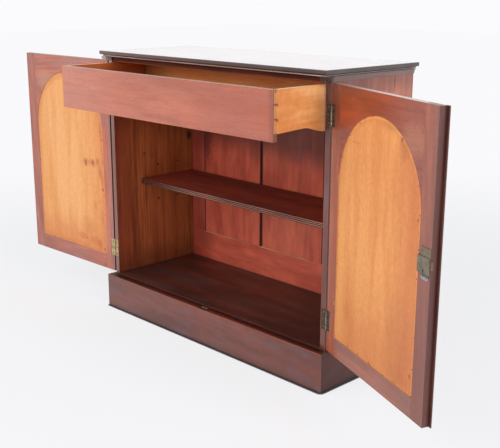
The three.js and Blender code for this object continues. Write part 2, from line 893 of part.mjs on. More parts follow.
function lockCase(frame) {
  const box = block(
    [frame.x(lockEdge - lockWidth), frame.x(lockEdge)],
    [frame.y(-lockProud), frame.y(lockLetIn)],
    [lockLow, lockHigh],
  );
  const plate = [frame.y(-hairline - lockPlateThickness), frame.y(-hairline)];
  const upper = block(
    [frame.x(lockEdge - lockUpperTabWidth), frame.x(lockEdge)],
    plate,
    [lockHigh - overrun, lockHigh + lockUpperTab],
  );
  const right = lockEdge - lockLowerTabSetback;
  const left = right - lockLowerTabWidth;
  const low = lockLow - lockLowerTab + lockTabRadius;
  const lowerOutline = [
    [left, lockLow + overrun],
    ...arc([left + lockTabRadius, low], lockTabRadius, Math.PI, 1.5 * Math.PI, lockTabSteps),
    ...arc([right - lockTabRadius, low], lockTabRadius, 1.5 * Math.PI, 2 * Math.PI, lockTabSteps),
    [right, lockLow + overrun],
  ];
  const lower = prism('y', frame.flat(lowerOutline), plate);
  const space = lockBoltRange(jointClearance);
  const channel = block(
    [frame.x(lockEdge - lockBoltLength - jointClearance), frame.x(lockEdge + overrun)],
    space.v.map(frame.y),
    space.z,
  );
  const keyhole = keyholeTool(frame, [-lockProud - overrun, lockLetIn + overrun]);
  return cut(join(box, upper, lower), channel, keyhole);
}

function lockPocket(frame) {
  return block(
    [frame.x(lockEdge - lockWidth - jointClearance), frame.x(doorWidth + overrun)],
    [frame.y(-overrun), frame.y(lockLetIn + jointClearance)],
    [lockLow - jointClearance, lockHigh + jointClearance],
  );
}

function lockBolt(frame) {
  const space = lockBoltRange(0);
  return block([frame.x(lockEdge - lockBoltLength), frame.x(lockEdge)], space.v.map(frame.y), space.z);
}

// The mortise in the left door that the lock bolt shoots into
function lockMortise(frame) {
  const space = lockBoltRange(2 * jointClearance);
  return block(
    [frame.x(doorWidth - lockBoltLength / 2), frame.x(doorWidth + overrun)],
    space.v.map(frame.y),
    space.z,
  );
}

// Flush bolts: end is the door end that the bolt leaves by, way is 1 upwards and -1 downwards
const boltU = doorWidth - boltFromEdge;
const flushBolts = [
  { name: 'lower', end: doorBottomHeight, way: -1, travel: lowerBoltTravel },
  { name: 'upper', end: doorTopHeight, way: 1, travel: upperBoltTravel },
];

function boltPocket(frame, { end, way }) {
  const reach = boltRadius + jointClearance;
  const channel = block(
    [frame.x(boltU - reach), frame.x(doorWidth + overrun)],
    [frame.y(boltCentre - reach), frame.y(boltCentre + reach)],
    [end + way * overrun, end - way * (boltLength + boltEndClearance + jointClearance)],
  );
  const plate = block(
    [frame.x(doorWidth - boltPlateThickness - hairline), frame.x(doorWidth + overrun)],
    grown([boltCentre, boltCentre], boltPlateWidth / 2 + hairline).map(frame.y),
    [end + way * overrun, end - way * (boltPlateLength + hairline)],
  );
  return join(channel, plate);
}

function boltPlate(frame, { end, way, travel }) {
  const plate = block(
    [frame.x(doorWidth - boltPlateThickness), frame.x(doorWidth)],
    grown([boltCentre, boltCentre], boltPlateWidth / 2).map(frame.y),
    [end, end - way * boltPlateLength],
  );
  const near = end - way * (boltEndClearance + thumbFromEnd);
  const slot = block(
    [frame.x(doorWidth - boltPlateThickness - overrun), frame.x(doorWidth + overrun)],
    grown([boltCentre, boltCentre], thumbSize / 2 + jointClearance).map(frame.y),
    [near + way * (travel + jointClearance), near - way * (thumbSize + jointClearance)],
  );
  return cut(plate, slot);
}

function flushBolt(frame, { end, way }) {
  const tip = end - way * boltEndClearance;
  const rod = bar('z', boltRadius, [frame.x(boltU), frame.y(boltCentre)], [tip, tip - way * boltLength]);
  const near = tip - way * thumbFromEnd;
  const thumb = block(
    [frame.x(boltU), frame.x(doorWidth - hairline)],
    grown([boltCentre, boltCentre], thumbSize / 2).map(frame.y),
    [near, near - way * thumbSize],
  );
  return join(rod, thumb);
}

function addDoor(model, name, side, openAngle) {
  const door = new THREE.Group();
  door.position.set(side * hingeX, hingeY, 0);
  door.rotation.z = side * THREE.MathUtils.degToRad(openAngle);
  model.add(door);
  const frame = doorFrame(side);
  const pockets = hingeHeights.map((height) => doorLeafPocket(frame, height));
  const lockCuts = side > 0
    ? [lockPocket(frame), keyholeTool(frame, [0, doorThickness + overrun])]
    : [lockMortise(frame), ...flushBolts.map((bolt) => boltPocket(frame, bolt))];
  const hingeStileBoard = doorStile(frame, 0, 1, hingeStile);
  const lockStileBoard = doorStile(frame, doorWidth, -1, lockStile);
  addPart(door, `${name}_door_hinge_stile`, cut(hingeStileBoard, ...pockets), finishes.mahogany);
  addPart(door, `${name}_door_lock_stile`, cut(lockStileBoard, ...lockCuts), finishes.mahogany);
  addPart(door, `${name}_door_arched_rail`, doorTopRailPiece(frame), finishes.mahogany);
  addPart(door, `${name}_door_bottom_rail`, doorBottomRailPiece(frame), finishes.mahogany);
  addPart(door, `${name}_door_panel`, doorPanel(frame), finishes.pine);
  addPart(door, `${name}_door_moulding`, doorMoulding(frame), finishes.mahogany);
  const levels = ['lower', 'upper'];
  hingeHeights.forEach((height, i) => {
    addPart(door, `${name}_door_hinge_leaf_${levels[i]}`, hingeLeaf(side, -1, height), finishes.brass);
  });
  if (side > 0) {
    addPart(door, 'right_door_astragal', astragal(frame), finishes.mahogany);
    addPart(door, 'lock_case', lockCase(frame), finishes.brass);
    addPart(door, 'lock_bolt', lockBolt(frame), finishes.brass);
  } else {
    for (const bolt of flushBolts) {
      addPart(door, `${bolt.name}_bolt_plate`, boltPlate(frame, bolt), finishes.brass);
      addPart(door, `${bolt.name}_bolt`, flushBolt(frame, bolt), finishes.brass);
    }
  }
}

function addCase(model) {
  const sides = [['left', -1], ['right', 1]];
  for (const [name, side] of sides) {
    addPart(model, `case_side_${name}`, caseSide(side), finishes.stainedPine);
    addPart(model, `top_cove_${name}`, topCove(side), finishes.mahogany);
    const kickerX = [side * (innerX - hairline), side * (innerX - kickerWidth)];
    const kickerY = [frontY + railDepth + hairline, backY - railDepth - 2 * hairline];
    const kicker = block(kickerX, kickerY, [railBottom, caseTop - hairline]);
    addPart(model, `drawer_kicker_${name}`, kicker, finishes.stainedPine);
    const runnerTop = drawerLow + runningEdge - jointClearance;
    const runner = block(
      [side * (innerX - hairline), side * (innerX - runnerWidth)],
      [frontY + runnerSetback, backY - hairline],
      [runnerTop - runnerHeight, runnerTop],
    );
    addPart(model, `drawer_runner_${name}`, runner, finishes.stainedPine);
    addPart(model, `plinth_${name}`, plinthSide(side), finishes.mahogany);
    const levels = ['lower', 'upper'];
    hingeHeights.forEach((height, i) => {
      const leaf = hingeLeaf(side, 1, height).translate(side * hingeX, hingeY, 0);
      addPart(model, `case_hinge_leaf_${name}_${levels[i]}`, leaf, finishes.brass);
    });
    ['front', 'rear'].forEach((place, i) => {
      const peg = shelfPeg(side).translate(side * innerX, frontY + pegColumns[i], pegMiddleHeight);
      addPart(model, `shelf_peg_${name}_${place}`, peg, finishes.beech);
    });
  }
  addPart(model, 'top_board', topBoard(), finishes.mahogany);
  addPart(model, 'top_rail_front', frontRail(), finishes.mahoganyInside);
  const railX = innerX - hairline;
  const railY = [backY - railDepth - hairline, backY - hairline];
  const backRail = block([-railX, railX], railY, [railBottom, caseTop - hairline]);
  addPart(model, 'top_rail_back', backRail, finishes.stainedPine);
  addPart(model, 'bottom_board', bottomBoard(), finishes.mahoganyInside);
  addPart(model, 'back_frame', backFrame(), finishes.redPine);
  const places = ['left', 'centre', 'right'];
  backOpenings().forEach((opening, i) => {
    addPart(model, `back_panel_${places[i]}`, backPanel(opening, places[i] === 'centre'), finishes.redPine);
  });
  addPart(model, 'shelf', shelf(), finishes.mahoganyInside);
}

function addPlinth(model) {
  const frontBack = frontY - plinthFrontProjection + plinthFrontThickness;
  const x = innerX - hairline;
  const bearerTop = bottomUnderside - hairline;
  const bearerRear = frontBack + hairline + bearerDepth;
  addPart(model, 'plinth_front', plinthFront(), finishes.mahogany);
  const rear = block([-x, x], [backY - plinthBackThickness, backY - hairline], [0, bearerTop]);
  addPart(model, 'plinth_back', rear, finishes.stainedPine);
  const bearer = block([-x, x], [frontBack + hairline, bearerRear], [bearerTop - bearerHeight, bearerTop]);
  addPart(model, 'plinth_front_bearer', bearer, finishes.stainedPine);
  const centre = block(
    [-centreBearerWidth / 2, centreBearerWidth / 2],
    [bearerRear + hairline, backY - plinthBackThickness - hairline],
    [0, bearerTop],
  );
  addPart(model, 'plinth_centre_bearer', centre, finishes.stainedPine);
  addPart(model, 'bolt_keep', boltKeep(), finishes.brass);
}

function addDrawer(model) {
  const drawer = new THREE.Group();
  drawer.position.y = -drawerOut;
  model.add(drawer);
  addPart(drawer, 'drawer_front', drawerFront(), finishes.mahogany);
  addPart(drawer, 'drawer_side_left', drawerSide(-1), finishes.pine);
  addPart(drawer, 'drawer_side_right', drawerSide(1), finishes.pine);
  addPart(drawer, 'drawer_back', drawerBack(), finishes.pine);
  addPart(drawer, 'drawer_bottom', drawerBottom(), finishes.pine);
}

const chiffonier = new THREE.Group();
addCase(chiffonier);
addPlinth(chiffonier);
addDrawer(chiffonier);
addDoor(chiffonier, 'left', -1, leftOpenAngle);
addDoor(chiffonier, 'right', 1, rightOpenAngle);

export default chiffonier;
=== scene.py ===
# A mahogany chiffonier, open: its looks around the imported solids. Metres, +Z up, the front towards -Y.
import bpy
import bmesh
import math
import random
from functools import partial
from types import SimpleNamespace
from mathutils import Matrix, Vector


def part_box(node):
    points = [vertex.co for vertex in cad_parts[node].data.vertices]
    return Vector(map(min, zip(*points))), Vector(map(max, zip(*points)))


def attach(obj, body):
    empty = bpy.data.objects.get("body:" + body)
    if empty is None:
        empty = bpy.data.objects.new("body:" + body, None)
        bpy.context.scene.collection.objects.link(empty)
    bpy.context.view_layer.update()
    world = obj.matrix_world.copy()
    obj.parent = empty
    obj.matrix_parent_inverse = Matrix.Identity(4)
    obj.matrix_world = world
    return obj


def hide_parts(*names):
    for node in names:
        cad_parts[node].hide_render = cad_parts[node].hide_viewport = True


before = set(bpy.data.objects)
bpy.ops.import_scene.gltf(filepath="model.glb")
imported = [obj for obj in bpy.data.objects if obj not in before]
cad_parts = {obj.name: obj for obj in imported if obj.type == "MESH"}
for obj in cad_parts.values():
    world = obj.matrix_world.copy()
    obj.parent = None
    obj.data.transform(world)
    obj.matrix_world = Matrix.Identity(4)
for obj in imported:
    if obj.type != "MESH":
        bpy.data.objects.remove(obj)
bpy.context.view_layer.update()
print("frame loaded:", len(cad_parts), "nodes")


def mm(value):
    return value / 1000


def newObject(name, data):
    made = bpy.data.objects.new(name, data)
    bpy.context.scene.collection.objects.link(made)
    return made


# Camera and stage

cameraView = {
    "place": (2.1644, -2.0867, 1.1898),
    "yaw": 45.746,  # degrees to the left of straight at the front
    "pitch": -14.89,
    "roll": 0.194,
    "focalPixels": 889.2,  # focal length in pixels of a picture 500 pixels wide
    "pictureWidth": 500,
    "sensor": 36.0,
}


def makeCamera():
    yaw, pitch, roll = (math.radians(cameraView[key]) for key in ("yaw", "pitch", "roll"))
    ahead = Vector((-math.sin(yaw) * math.cos(pitch), math.cos(yaw) * math.cos(pitch), math.sin(pitch)))
    right = Vector((math.cos(yaw), math.sin(yaw), 0))
    above = right.cross(ahead)
    tiltedRight = right * math.cos(roll) + above * math.sin(roll)
    tiltedAbove = above * math.cos(roll) - right * math.sin(roll)
    turn = Matrix((tiltedRight, tiltedAbove, -ahead)).transposed().to_4x4()
    data = bpy.data.cameras.new("camera")
    data.sensor_width = cameraView["sensor"]
    data.lens = cameraView["focalPixels"] / cameraView["pictureWidth"] * cameraView["sensor"]
    camera = newObject("camera", data)
    camera.matrix_world = Matrix.Translation(cameraView["place"]) @ turn
    bpy.context.scene.camera = camera


def linear(hexColour):
    channels = [int(hexColour[i:i + 2], 16) / 255 for i in (1, 3, 5)]
    return tuple(c / 12.92 if c <= 0.04045 else ((c + 0.055) / 1.055) ** 2.4 for c in channels) + (1.0,)


def addNode(tree, kind, inputs=(), operation=None, **settings):
    # inputs are in order or by name: a plain value, a socket, or a node, whose first output is then meant
    node = tree.nodes.new("ShaderNode" + kind)
    if operation:
        node.operation = operation
    for name, value in settings.items():
        setattr(node, name, value)
    for name, value in inputs.items() if isinstance(inputs, dict) else enumerate(inputs):
        socket = node.inputs[name] if isinstance(name, int) else next(
            socket for socket in node.inputs if socket.enabled and socket.name == name)
        if isinstance(value, bpy.types.Node):
            value = next(output for output in value.outputs if output.enabled)
        if isinstance(value, bpy.types.NodeSocket):
            tree.links.new(value, socket)
        else:
            socket.default_value = value
    return node


smooth = {"interpolation_type": "SMOOTHSTEP"}
finishes = {}


def newTree(name):
    # the empty node tree of a new finish
    material = bpy.data.materials.new(name)
    material.use_nodes = True
    material.node_tree.nodes.clear()
    finishes[name] = material
    return material.node_tree


stageLook = {
    "floorColour": "#f1f5f9",
    "nearGlow": 0.78,  # share of the floor that shows plain white instead of its light and shadow
    "nearReach": (1.3, 3.4),  # metres from the middle over which that share grows to all of it
    "backdropColour": "#f9f9fb",
    # a painted contact shadow on the floor along the plinth's foot
    "contactShadowColour": "#34292a",
    "contactShadowReach": 12,  # mm out from the plinth's foot over which the floor darkens
    "contactShadowFade": (0.94, 0.78, 0.0, 0.95),  # from this openness to this one, so much to so much of that colour
    "size": 40.0,
}

# place, aim, size in metres, watts, colour
lampLooks = {
    # a wide soft window in front and to the left, a low one that reaches inside, one at the right
    "front_window": ((-1.4, -3.6, 3.0), (0, 0, 0.5), (3.4, 2.4), 60, "#fffaf4"),
    "low_window": ((1.0, -4.2, 1.3), (0, 0.1, 0.45), (2.4, 1.8), 54, "#fffaf2"),
    "side_window": ((3.9, -0.7, 2.3), (0.3, 0, 0.6), (2.6, 2.4), 80, "#fbfbff"),
    # the lit wall behind, which the polished top mirrors
    "rear_wall": ((-2.6, 2.9, 2.1), (0, 0.1, 0.9), (6.0, 1.9), 14, "#ffffff"),
}

skyLook = {
    "shown": "#fbfbfd",
    "light": "#f3f5fa",
    "strength": 0.48,  # as light on the object
}


def makeStage():
    mesh = bpy.data.meshes.new("floor")
    half = stageLook["size"] / 2
    mesh.from_pydata([(-half, -half, 0), (half, -half, 0), (half, half, 0), (-half, half, 0)], [], [(0, 1, 2, 3)])
    floor = newObject("floor", mesh)
    paintFloor("matt painted floor")
    floor.data.materials.append(finishes["matt painted floor"])
    for name, (place, aim, size, watts, colour) in lampLooks.items():
        data = bpy.data.lights.new(name, "AREA")
        data.shape = "RECTANGLE"
        data.size, data.size_y = size
        data.energy = watts
        data.color = linear(colour)[:3]
        lamp = newObject(name, data)
        lamp.location = place
        lamp.rotation_euler = (Vector(aim) - Vector(place)).to_track_quat("-Z", "Y").to_euler()
        lamp.visible_camera = False
    world = bpy.data.worlds.new("studio")
    bpy.context.scene.world = world
    world.use_nodes = True
    tree = world.node_tree
    tree.nodes.clear()
    shown = addNode(tree, "Background", [linear(skyLook["shown"]), 1.0])
    light = addNode(tree, "Background", [linear(skyLook["light"]), skyLook["strength"]])
    both = addNode(tree, "MixShader", [seenDirectly(tree), light, shown])
    addNode(tree, "OutputWorld", [both])
    bpy.context.scene.view_settings.view_transform = "Standard"


def seenDirectly(tree):
    # 1 for what the camera sees, also in polish or glass, 0 for light that falls on the object
    path = addNode(tree, "LightPath").outputs
    mirrored = addNode(tree, "Math", [path["Is Glossy Ray"], path["Is Transmission Ray"]], "MAXIMUM")
    return addNode(tree, "Math", [path["Is Camera Ray"], mirrored], "MAXIMUM")


def paintFloor(name):
    # a matt painted studio floor that runs out into white
    tree = newTree(name)
    place = addNode(tree, "TexCoord").outputs["Object"]
    away = addNode(tree, "VectorMath", [place], "LENGTH")
    share = addNode(tree, "MapRange", [away, *stageLook["nearReach"], stageLook["nearGlow"], 1.0], **smooth)
    amount = addNode(tree, "Math", [seenDirectly(tree), share], "MULTIPLY")
    paint = addNode(tree, "BsdfDiffuse", [linear(stageLook["floorColour"])])
    glow = addNode(tree, "Emission", [linear(stageLook["backdropColour"]), 1.0])
    both = addNode(tree, "MixShader", [amount, paint, glow])
    # a painted contact shadow: the thin dark line where the plinth meets the floor
    openness = addNode(tree, "AmbientOcclusion", {"Distance": mm(stageLook["contactShadowReach"])}, samples=16)
    contact = addNode(tree, "MapRange", [openness.outputs["AO"], *stageLook["contactShadowFade"]], **smooth)
    dark = addNode(tree, "BsdfDiffuse", [linear(stageLook["contactShadowColour"])])
    both = addNode(tree, "MixShader", [contact, both, dark])
    addNode(tree, "OutputMaterial", [both])


# Wood. Every board has its own axes: x along the grain, y across the face, z through the thickness.

woodGrowth = {
    "seedStep": (7.3, 0.11, 0.07),  # metres in the pattern from the first board's start to the last one's
    "driftSize": (700, 160, 160),  # mm over which the grain wanders off and back
    "waveRing": 0.31416,  # width of a wave texture's ring at scale 1
    "knotLonger": 1.4,  # times its radius along the grain, if no length is given
    "knotRagged": 0.9,
    "knotEdge": (1.7, 0.8),  # in radii from its middle, where it begins and is whole
}


def wood(name, base, light=None, dark=None, **changes):
    # a finish is its base with what changes, and light and dark are the tones that its face drifts between
    look = SimpleNamespace(**{**base, **changes})
    add = partial(addNode, newTree(name))

    coordinates = add("TexCoord").outputs
    place = coordinates["Object"]
    board = add("SeparateXYZ", [place]).outputs
    if hasattr(look, "railAbove"):
        # a frame glued up from uprights and cross rails: its grain turns where a rail is
        above = add("Math", [board["X"], mm(look.railAbove)], "GREATER_THAN")
        below = add("Math", [board["X"], mm(look.railBelow)], "LESS_THAN")
        rail = add("Math", [above, below], "MAXIMUM")
        crossed = add("CombineXYZ", [board["Y"], board["X"], board["Z"]])
        place = add("Mix", {"Factor": rail, "A": place, "B": crossed}, data_type="VECTOR")
    # each board starts at its own place in the pattern, and its grain wanders a little along it
    seed = add("Attribute", attribute_name="seed").outputs["Fac"]
    point = add("VectorMath", [seed, woodGrowth["seedStep"], place], "MULTIPLY_ADD")
    slow = add("VectorMath", [point, [1000 / size for size in woodGrowth["driftSize"]]], "MULTIPLY")
    drift = add("TexNoise", {"Vector": slow, "Scale": 1.0, "Detail": 2.0}).outputs["Color"]
    drift = add("VectorMath", [drift, (0.5, 0.5, 0.5)], "SUBTRACT")
    grained = add("VectorMath", [drift, (0, mm(look.wander), mm(look.wander)), point], "MULTIPLY_ADD")

    # noise patterns: where each is read, its size along and across the grain in mm, detail and roughness
    noise = {
        "tone": (grained, look.toneSize, 3.0, 0.55),
        "mottle": (grained, look.mottle[:2], 3.0, 0.6),
        "streak": (grained, (260, look.streak[0]), 3.0, 0.6),
        "fibre": (grained, (34, look.fibre[0]), 2.0, 0.7),
        "pore": (grained, (9, look.pore[0]), 1.0, 0.5),
        "stain": (point, (130, 50), 3.0, 0.5),
        "haze": (point, look.bloomSize, 3.0, 0.6),
        "blot": (point, (16, 6), 2.0, 0.5),
        "sheen": (point, (90, 45), 4.0, 0.65),
    }
    for pattern, (start, (lengthwise, crosswise), detail, roughness) in noise.items():
        size = (1000 / lengthwise, 1000 / crosswise, 1000 / crosswise)
        stretched = add("VectorMath", [start, size], "MULTIPLY")
        noise[pattern] = add("TexNoise", {"Vector": stretched, "Scale": 1.0, "Detail": detail,
                                          "Roughness": roughness})

    # growth rings round a heart below the board's face, leaning along its length
    (aside, below, lean), (spacing, wobble, ringStrength) = look.heart, look.ring
    heart = add("VectorMath", [grained, (0, mm(aside), mm(below))], "ADD")
    lengthwise = add("SeparateXYZ", [grained])
    leaning = add("VectorMath", [lengthwise, (0, 0, lean), heart], "MULTIPLY_ADD")
    rings = add("TexWave", {"Vector": leaning, "Scale": woodGrowth["waveRing"] / mm(spacing),
                            "Distortion": wobble, "Detail": 2.0, "Detail Scale": 0.6},
                wave_type="RINGS", rings_direction="X", wave_profile="SAW").outputs["Fac"]

    # how far each pattern shows, eased in between two of its values
    facing = add("Math", [add("SeparateXYZ", [coordinates["Normal"]])], "ABSOLUTE")
    # how open each point is, for the dust and painted shade in its corners
    openness = add("AmbientOcclusion", {"Distance": mm(look.grimeReach)}, samples=6).outputs["AO"]
    poreFrom = look.pore[1]
    eased = {
        "tone": (noise["tone"], 0.34, 0.66),
        "growth": (rings, 0.25, 0.93),
        "winter": (rings, 1.0, 0.95),
        "streak": (noise["streak"], 0.46, 0.74),
        "pore": (noise["pore"], poreFrom, poreFrom + 0.06),
        "haze": (noise["haze"], 0.45, 0.72),
        "end": (facing, 0.6, 0.9),
        "corner": (openness, 0.95, 0.35),
    }
    for key, between in eased.items():
        eased[key] = add("MapRange", between, **smooth)
    lateWood = add("Math", [eased["growth"], eased["winter"]], "MULTIPLY")
    rubbed = add("Attribute", attribute_name="rubbed").outputs["Fac"]

    # stains, sun fades, painted shadows and painted highlights, each given by its board axis, the mm along it from
    # where to where it grows, how ragged, colour and strength
    under = []
    for axis, start, end, raggedness, tint, strength in look.shades:
        ragged = add("Math", [noise["stain"], mm(raggedness), board[axis]], "MULTIPLY_ADD")
        middle = mm(raggedness) / 2
        grown = add("MapRange", [ragged, mm(start) + middle, mm(end) + middle], **smooth)
        under.append((grown, strength, tint))
    under += [(lateWood, ringStrength, look.ringColour),
              (eased["streak"], look.streak[1], look.streakColour)]
    if hasattr(look, "rim"):
        # a band along the edge of an arched panel: distance in mm from its arch, its sides and its foot
        rim = look.rim
        risen = add("Math", [board["X"], -mm(rim["spring"])], "ADD")
        risen = add("Math", [risen, 0.0], "MAXIMUM")
        outward = add("VectorMath", [add("CombineXYZ", [risen, board["Y"]])], "LENGTH")
        inward = add("Math", [mm(rim["radius"]), outward], "SUBTRACT")
        raised = add("Math", [board["X"], -mm(rim["foot"])], "ADD")
        inward = add("Math", [inward, raised], "MINIMUM")
        inward = add("Math", [noise["blot"], mm(rim["ragged"]), inward], "MULTIPLY_ADD")
        middle = mm(rim["ragged"]) / 2
        for low, high, strength, tint in rim["bands"]:
            band = add("MapRange", [inward, mm(high) + middle, mm(low) + middle], **smooth)
            under.append((band, strength, tint))

    # knots, stains, cracks and patches of painted shade and reflection on the board's face: along and across in mm,
    # radius, how dark, half the length
    over = [(eased["pore"], look.pore[2], look.poreColour),
            (eased["haze"], look.bloom, look.bloomColour)]
    for knotAlong, knotAcross, radius, strength, *longer in look.knots:
        spread = (1 / mm(longer[0] if longer else radius * woodGrowth["knotLonger"]), 1 / mm(radius), 0)
        offset = add("VectorMath", [coordinates["Object"], (mm(knotAlong), mm(knotAcross), 0)], "SUBTRACT")
        offset = add("VectorMath", [offset, spread], "MULTIPLY")
        away = add("VectorMath", [offset], "LENGTH")
        away = add("Math", [noise["blot"], woodGrowth["knotRagged"], away], "MULTIPLY_ADD")
        core = add("MapRange", [away, *woodGrowth["knotEdge"]], **smooth)
        over.append((core, strength, look.knotColour))
    # end grain drinks more stain, softened edges are rubbed, and the corners darken with dust and painted shade
    over += [(eased["end"], look.endGrain, look.ringColour), (rubbed, look.rub, look.rubColour),
             (eased["corner"], look.grime, look.grimeColour)]

    colour = add("Mix", {"Factor": eased["tone"], "A": linear(light or look.light), "B": linear(dark or look.dark)},
                 data_type="RGBA")
    for layers in (under, over):
        for amount, strength, tint in layers:
            share = add("Math", [amount, strength], "MULTIPLY")
            colour = add("Mix", {"Factor": share, "A": colour, "B": linear(tint)}, data_type="RGBA")
        if layers is under:
            # fibres and mottling lighten and darken what is there so far
            fibre, mottle = look.fibre[1], look.mottle[2]
            depth = add("Math", [noise["fibre"], fibre, 1 - (fibre + mottle) / 2], "MULTIPLY_ADD")
            depth = add("Math", [noise["mottle"], mottle, depth], "MULTIPLY_ADD")
            colour = add("VectorMath", {0: colour, "Scale": depth}, "SCALE")

    roughness, spread = look.roughness, look.roughnessSpread
    sheen = add("MapRange", [noise["sheen"], 0.3, 0.7, roughness - spread, roughness + spread])
    sunk = add("Math", [eased["pore"], lateWood], "ADD")
    sunk = add("Math", [sunk, -look.poreRelief], "MULTIPLY")
    relief = add("Math", [noise["fibre"], look.fibreRelief, sunk], "MULTIPLY_ADD")
    bump = add("Bump", {"Strength": 1.0, "Distance": mm(1.0), "Height": relief})
    surface = add("BsdfPrincipled", {
        "Base Color": colour, "Roughness": sheen, "Normal": bump, "IOR": 1.5,
        "Coat Weight": look.polish[0], "Coat Roughness": look.polish[1], "Coat IOR": 1.5,
    })
    add("OutputMaterial", [surface])


# Cuban mahogany, planed, stained and polished with shellac: red-brown, fine dark pores, a soft mirror over it.
# Sizes are in mm along and across the grain, then a strength; a pore has its width, how rare it is and its strength,
# a ring its spacing, wobble and strength, the heart its place aside and below with its lean, and polish its
# strength and roughness.
mahogany = dict(
    light="#a0573f", dark="#7c3a28", ringColour="#5a2418", streakColour="#5c2519", poreColour="#2a0f0a",
    knotColour="#33130b", grimeColour="#1c0d09", bloomColour="#8f7a80", rubColour="#b98a72", wander=26,
    heart=(20, 90, 0.035), ring=(9, 1.6, 0.16), toneSize=(420, 60),
    mottle=(60, 22, 0.22), streak=(9, 0.35), fibre=(1.4, 0.22), pore=(0.8, 0.60, 0.4), bloom=0.2,
    bloomSize=(240, 60), rub=0.3, endGrain=0.6, grimeReach=14, grime=0.5, shades=(), knots=(), roughness=0.42,
    roughnessSpread=0.07, fibreRelief=0.04, poreRelief=0.05, polish=(0.55, 0.16),
)

# yellow deal, sawn and planed, never finished: warm honey with age, soft ring lines, dry to the eye
barePine = dict(
    mahogany, light="#efb06d", dark="#e29a56", ringColour="#c47630", streakColour="#c07030", poreColour="#a4602a",
    knotColour="#5b2c12", grimeColour="#5f2f14", rubColour="#f3cf9a", wander=8, heart=(60, 150, 0.004),
    ring=(4.6, 0.8, 0.09), toneSize=(500, 60), mottle=(24, 12, 0.16), streak=(6, 0.14), fibre=(1.1, 0.12),
    pore=(0.8, 0.66, 0.2), bloom=0.0, endGrain=0.35, grimeReach=8, grime=0.55, roughness=0.6, roughnessSpread=0.06,
    polish=(0.08, 0.35),
)

# the same deal under a thin brown or red stain: the rings and streaks drink more of it
stainedPine = dict(
    barePine, light="#a8562b", dark="#8a4020", ringColour="#54220e", streakColour="#54210d", poreColour="#2a0e06",
    knotColour="#1f0a05", grimeColour="#1c0b05", rubColour="#b77445", ring=(4.6, 0.8, 0.24), streak=(11, 0.5),
    fibre=(1.1, 0.3), mottle=(24, 12, 0.24), roughness=0.55,
)
redWashedPine = dict(
    stainedPine, light="#d06046", dark="#af4735", ringColour="#7c3022", streakColour="#6e2a1f", poreColour="#45160e",
    knotColour="#3a120b", grimeColour="#260c08", rubColour="#a3503c", ring=(4.6, 0.8, 0.08), roughness=0.6,
    streak=(16, 0.15), toneSize=(260, 60), mottle=(60, 26, 0.5), fibre=(1.1, 0.22),
)
darkMahogany = dict(
    mahogany, light="#652b1b", dark="#3f1910", ringColour="#260d07", streakColour="#220c07", polish=(0.25, 0.32),
    roughness=0.5, bloom=0.1, streak=(9, 0.6), rubColour="#8a4a33",
)

wood("polished mahogany", mahogany, "#743629", "#58261c", polish=(0.8, 0.15), roughness=0.38)
topLook = dict(
    mahogany, light="#633229", dark="#4b241d", polish=(0.9, 0.12), roughness=0.36, bloom=0.4, bloomColour="#665658",
    bloomSize=(200, 80),
    # the fillet under the slab: a painted shadow under the slab's overhang, and a painted highlight on its lower
    # arris
    shades=(("Z", -3, -4, 0.5, "#2c120c", 0.9), ("Z", -6, -7, 0.5, "#e6c6b8", 1.0)),
)
wood("polished mahogany, top", topLook)
topEdge = dict(topLook, polish=(0.5, 0.2), bloom=0.25, bloomColour="#5e5654")
wood(
    "dark polished mahogany, top edge", topEdge, "#6a4a46", "#563c38",
    # the left end is redder, and the edge darkens towards its right end and towards its foot
    shades=(("X", -340, 420, 60, "#39302f", 0.9), ("Z", 2, -3, 1, "#4a1d1a", 0.6), *topLook["shades"]),
)
wood(
    "greyed polished mahogany, right top edge", topEdge, "#43403e", "#353331", endGrain=0.1, streakColour="#2a2422",
)
# top edges that face up: pale with dust and a painted highlight
wood(
    "pale mahogany top edge, dust and painted highlight", mahogany, "#c8ab95", "#a98872", polish=(0.1, 0.16), roughness=0.6, ring=(9, 1.6, 0.1),
)
wood("dark mahogany edge", mahogany, "#5f3025", "#45201a", polish=(0.3, 0.16), bloom=0.08)
# the case's front edge, pale grey at its top as a painted reflection
wood(
    "greyed mahogany, case edge", mahogany, "#85554a", "#6c4038", polish=(0.7, 0.16),
    shades=(("X", 440, 455, 4, "#c9bbb3", 0.9),),
)
wood(
    "polished mahogany, right case edge", mahogany, "#7c3e31", "#5f2b21", polish=(0.6, 0.16), roughness=0.4, rub=0.1,
    shades=(("X", 270, 330, 20, "#43201c", 0.85),),
)
wood(
    "dark mahogany, front rail", darkMahogany, "#722e14", "#541c0a", polish=(0.0, 0.32), bloom=0.0, roughness=0.8,
    shades=(("Y", -5, -8, 3, "#a4522c", 0.8),),
)
wood("dark mahogany", darkMahogany)
wood(
    "dark mahogany shelf", darkMahogany, "#93341a", "#6c210f", polish=(0.0, 0.32), streak=(9, 0.4), roughness=0.75,
    bloom=0.0,
)
# the reeds' forward faces carry a painted highlight that fades towards the shelf's left end, and their steep and
# lower faces a painted shade
wood(
    "mahogany reeds, painted highlight", darkMahogany, "#b67d69", "#8e584b", polish=(0.5, 0.12), bloom=0.0, roughness=0.4,
    grime=0.2, grimeReach=2, streak=(9, 0.3), shades=(("X", -120, -460, 60, "#55261c", 0.85),),
)
wood(
    "mahogany reeds, painted shade", darkMahogany, "#2e100a", "#1d0905", polish=(0.0, 0.32), roughness=0.85, bloom=0.0,
    grime=0.9, grimeReach=4, grimeColour="#120503",
)
wood(
    "dark red mahogany edge", mahogany, "#5a2212", "#431708", polish=(0.05, 0.16), grime=0.3, grimeReach=4, bloom=0.0,
)
wood("stained pine", stainedPine)
wood("bare pine", barePine)


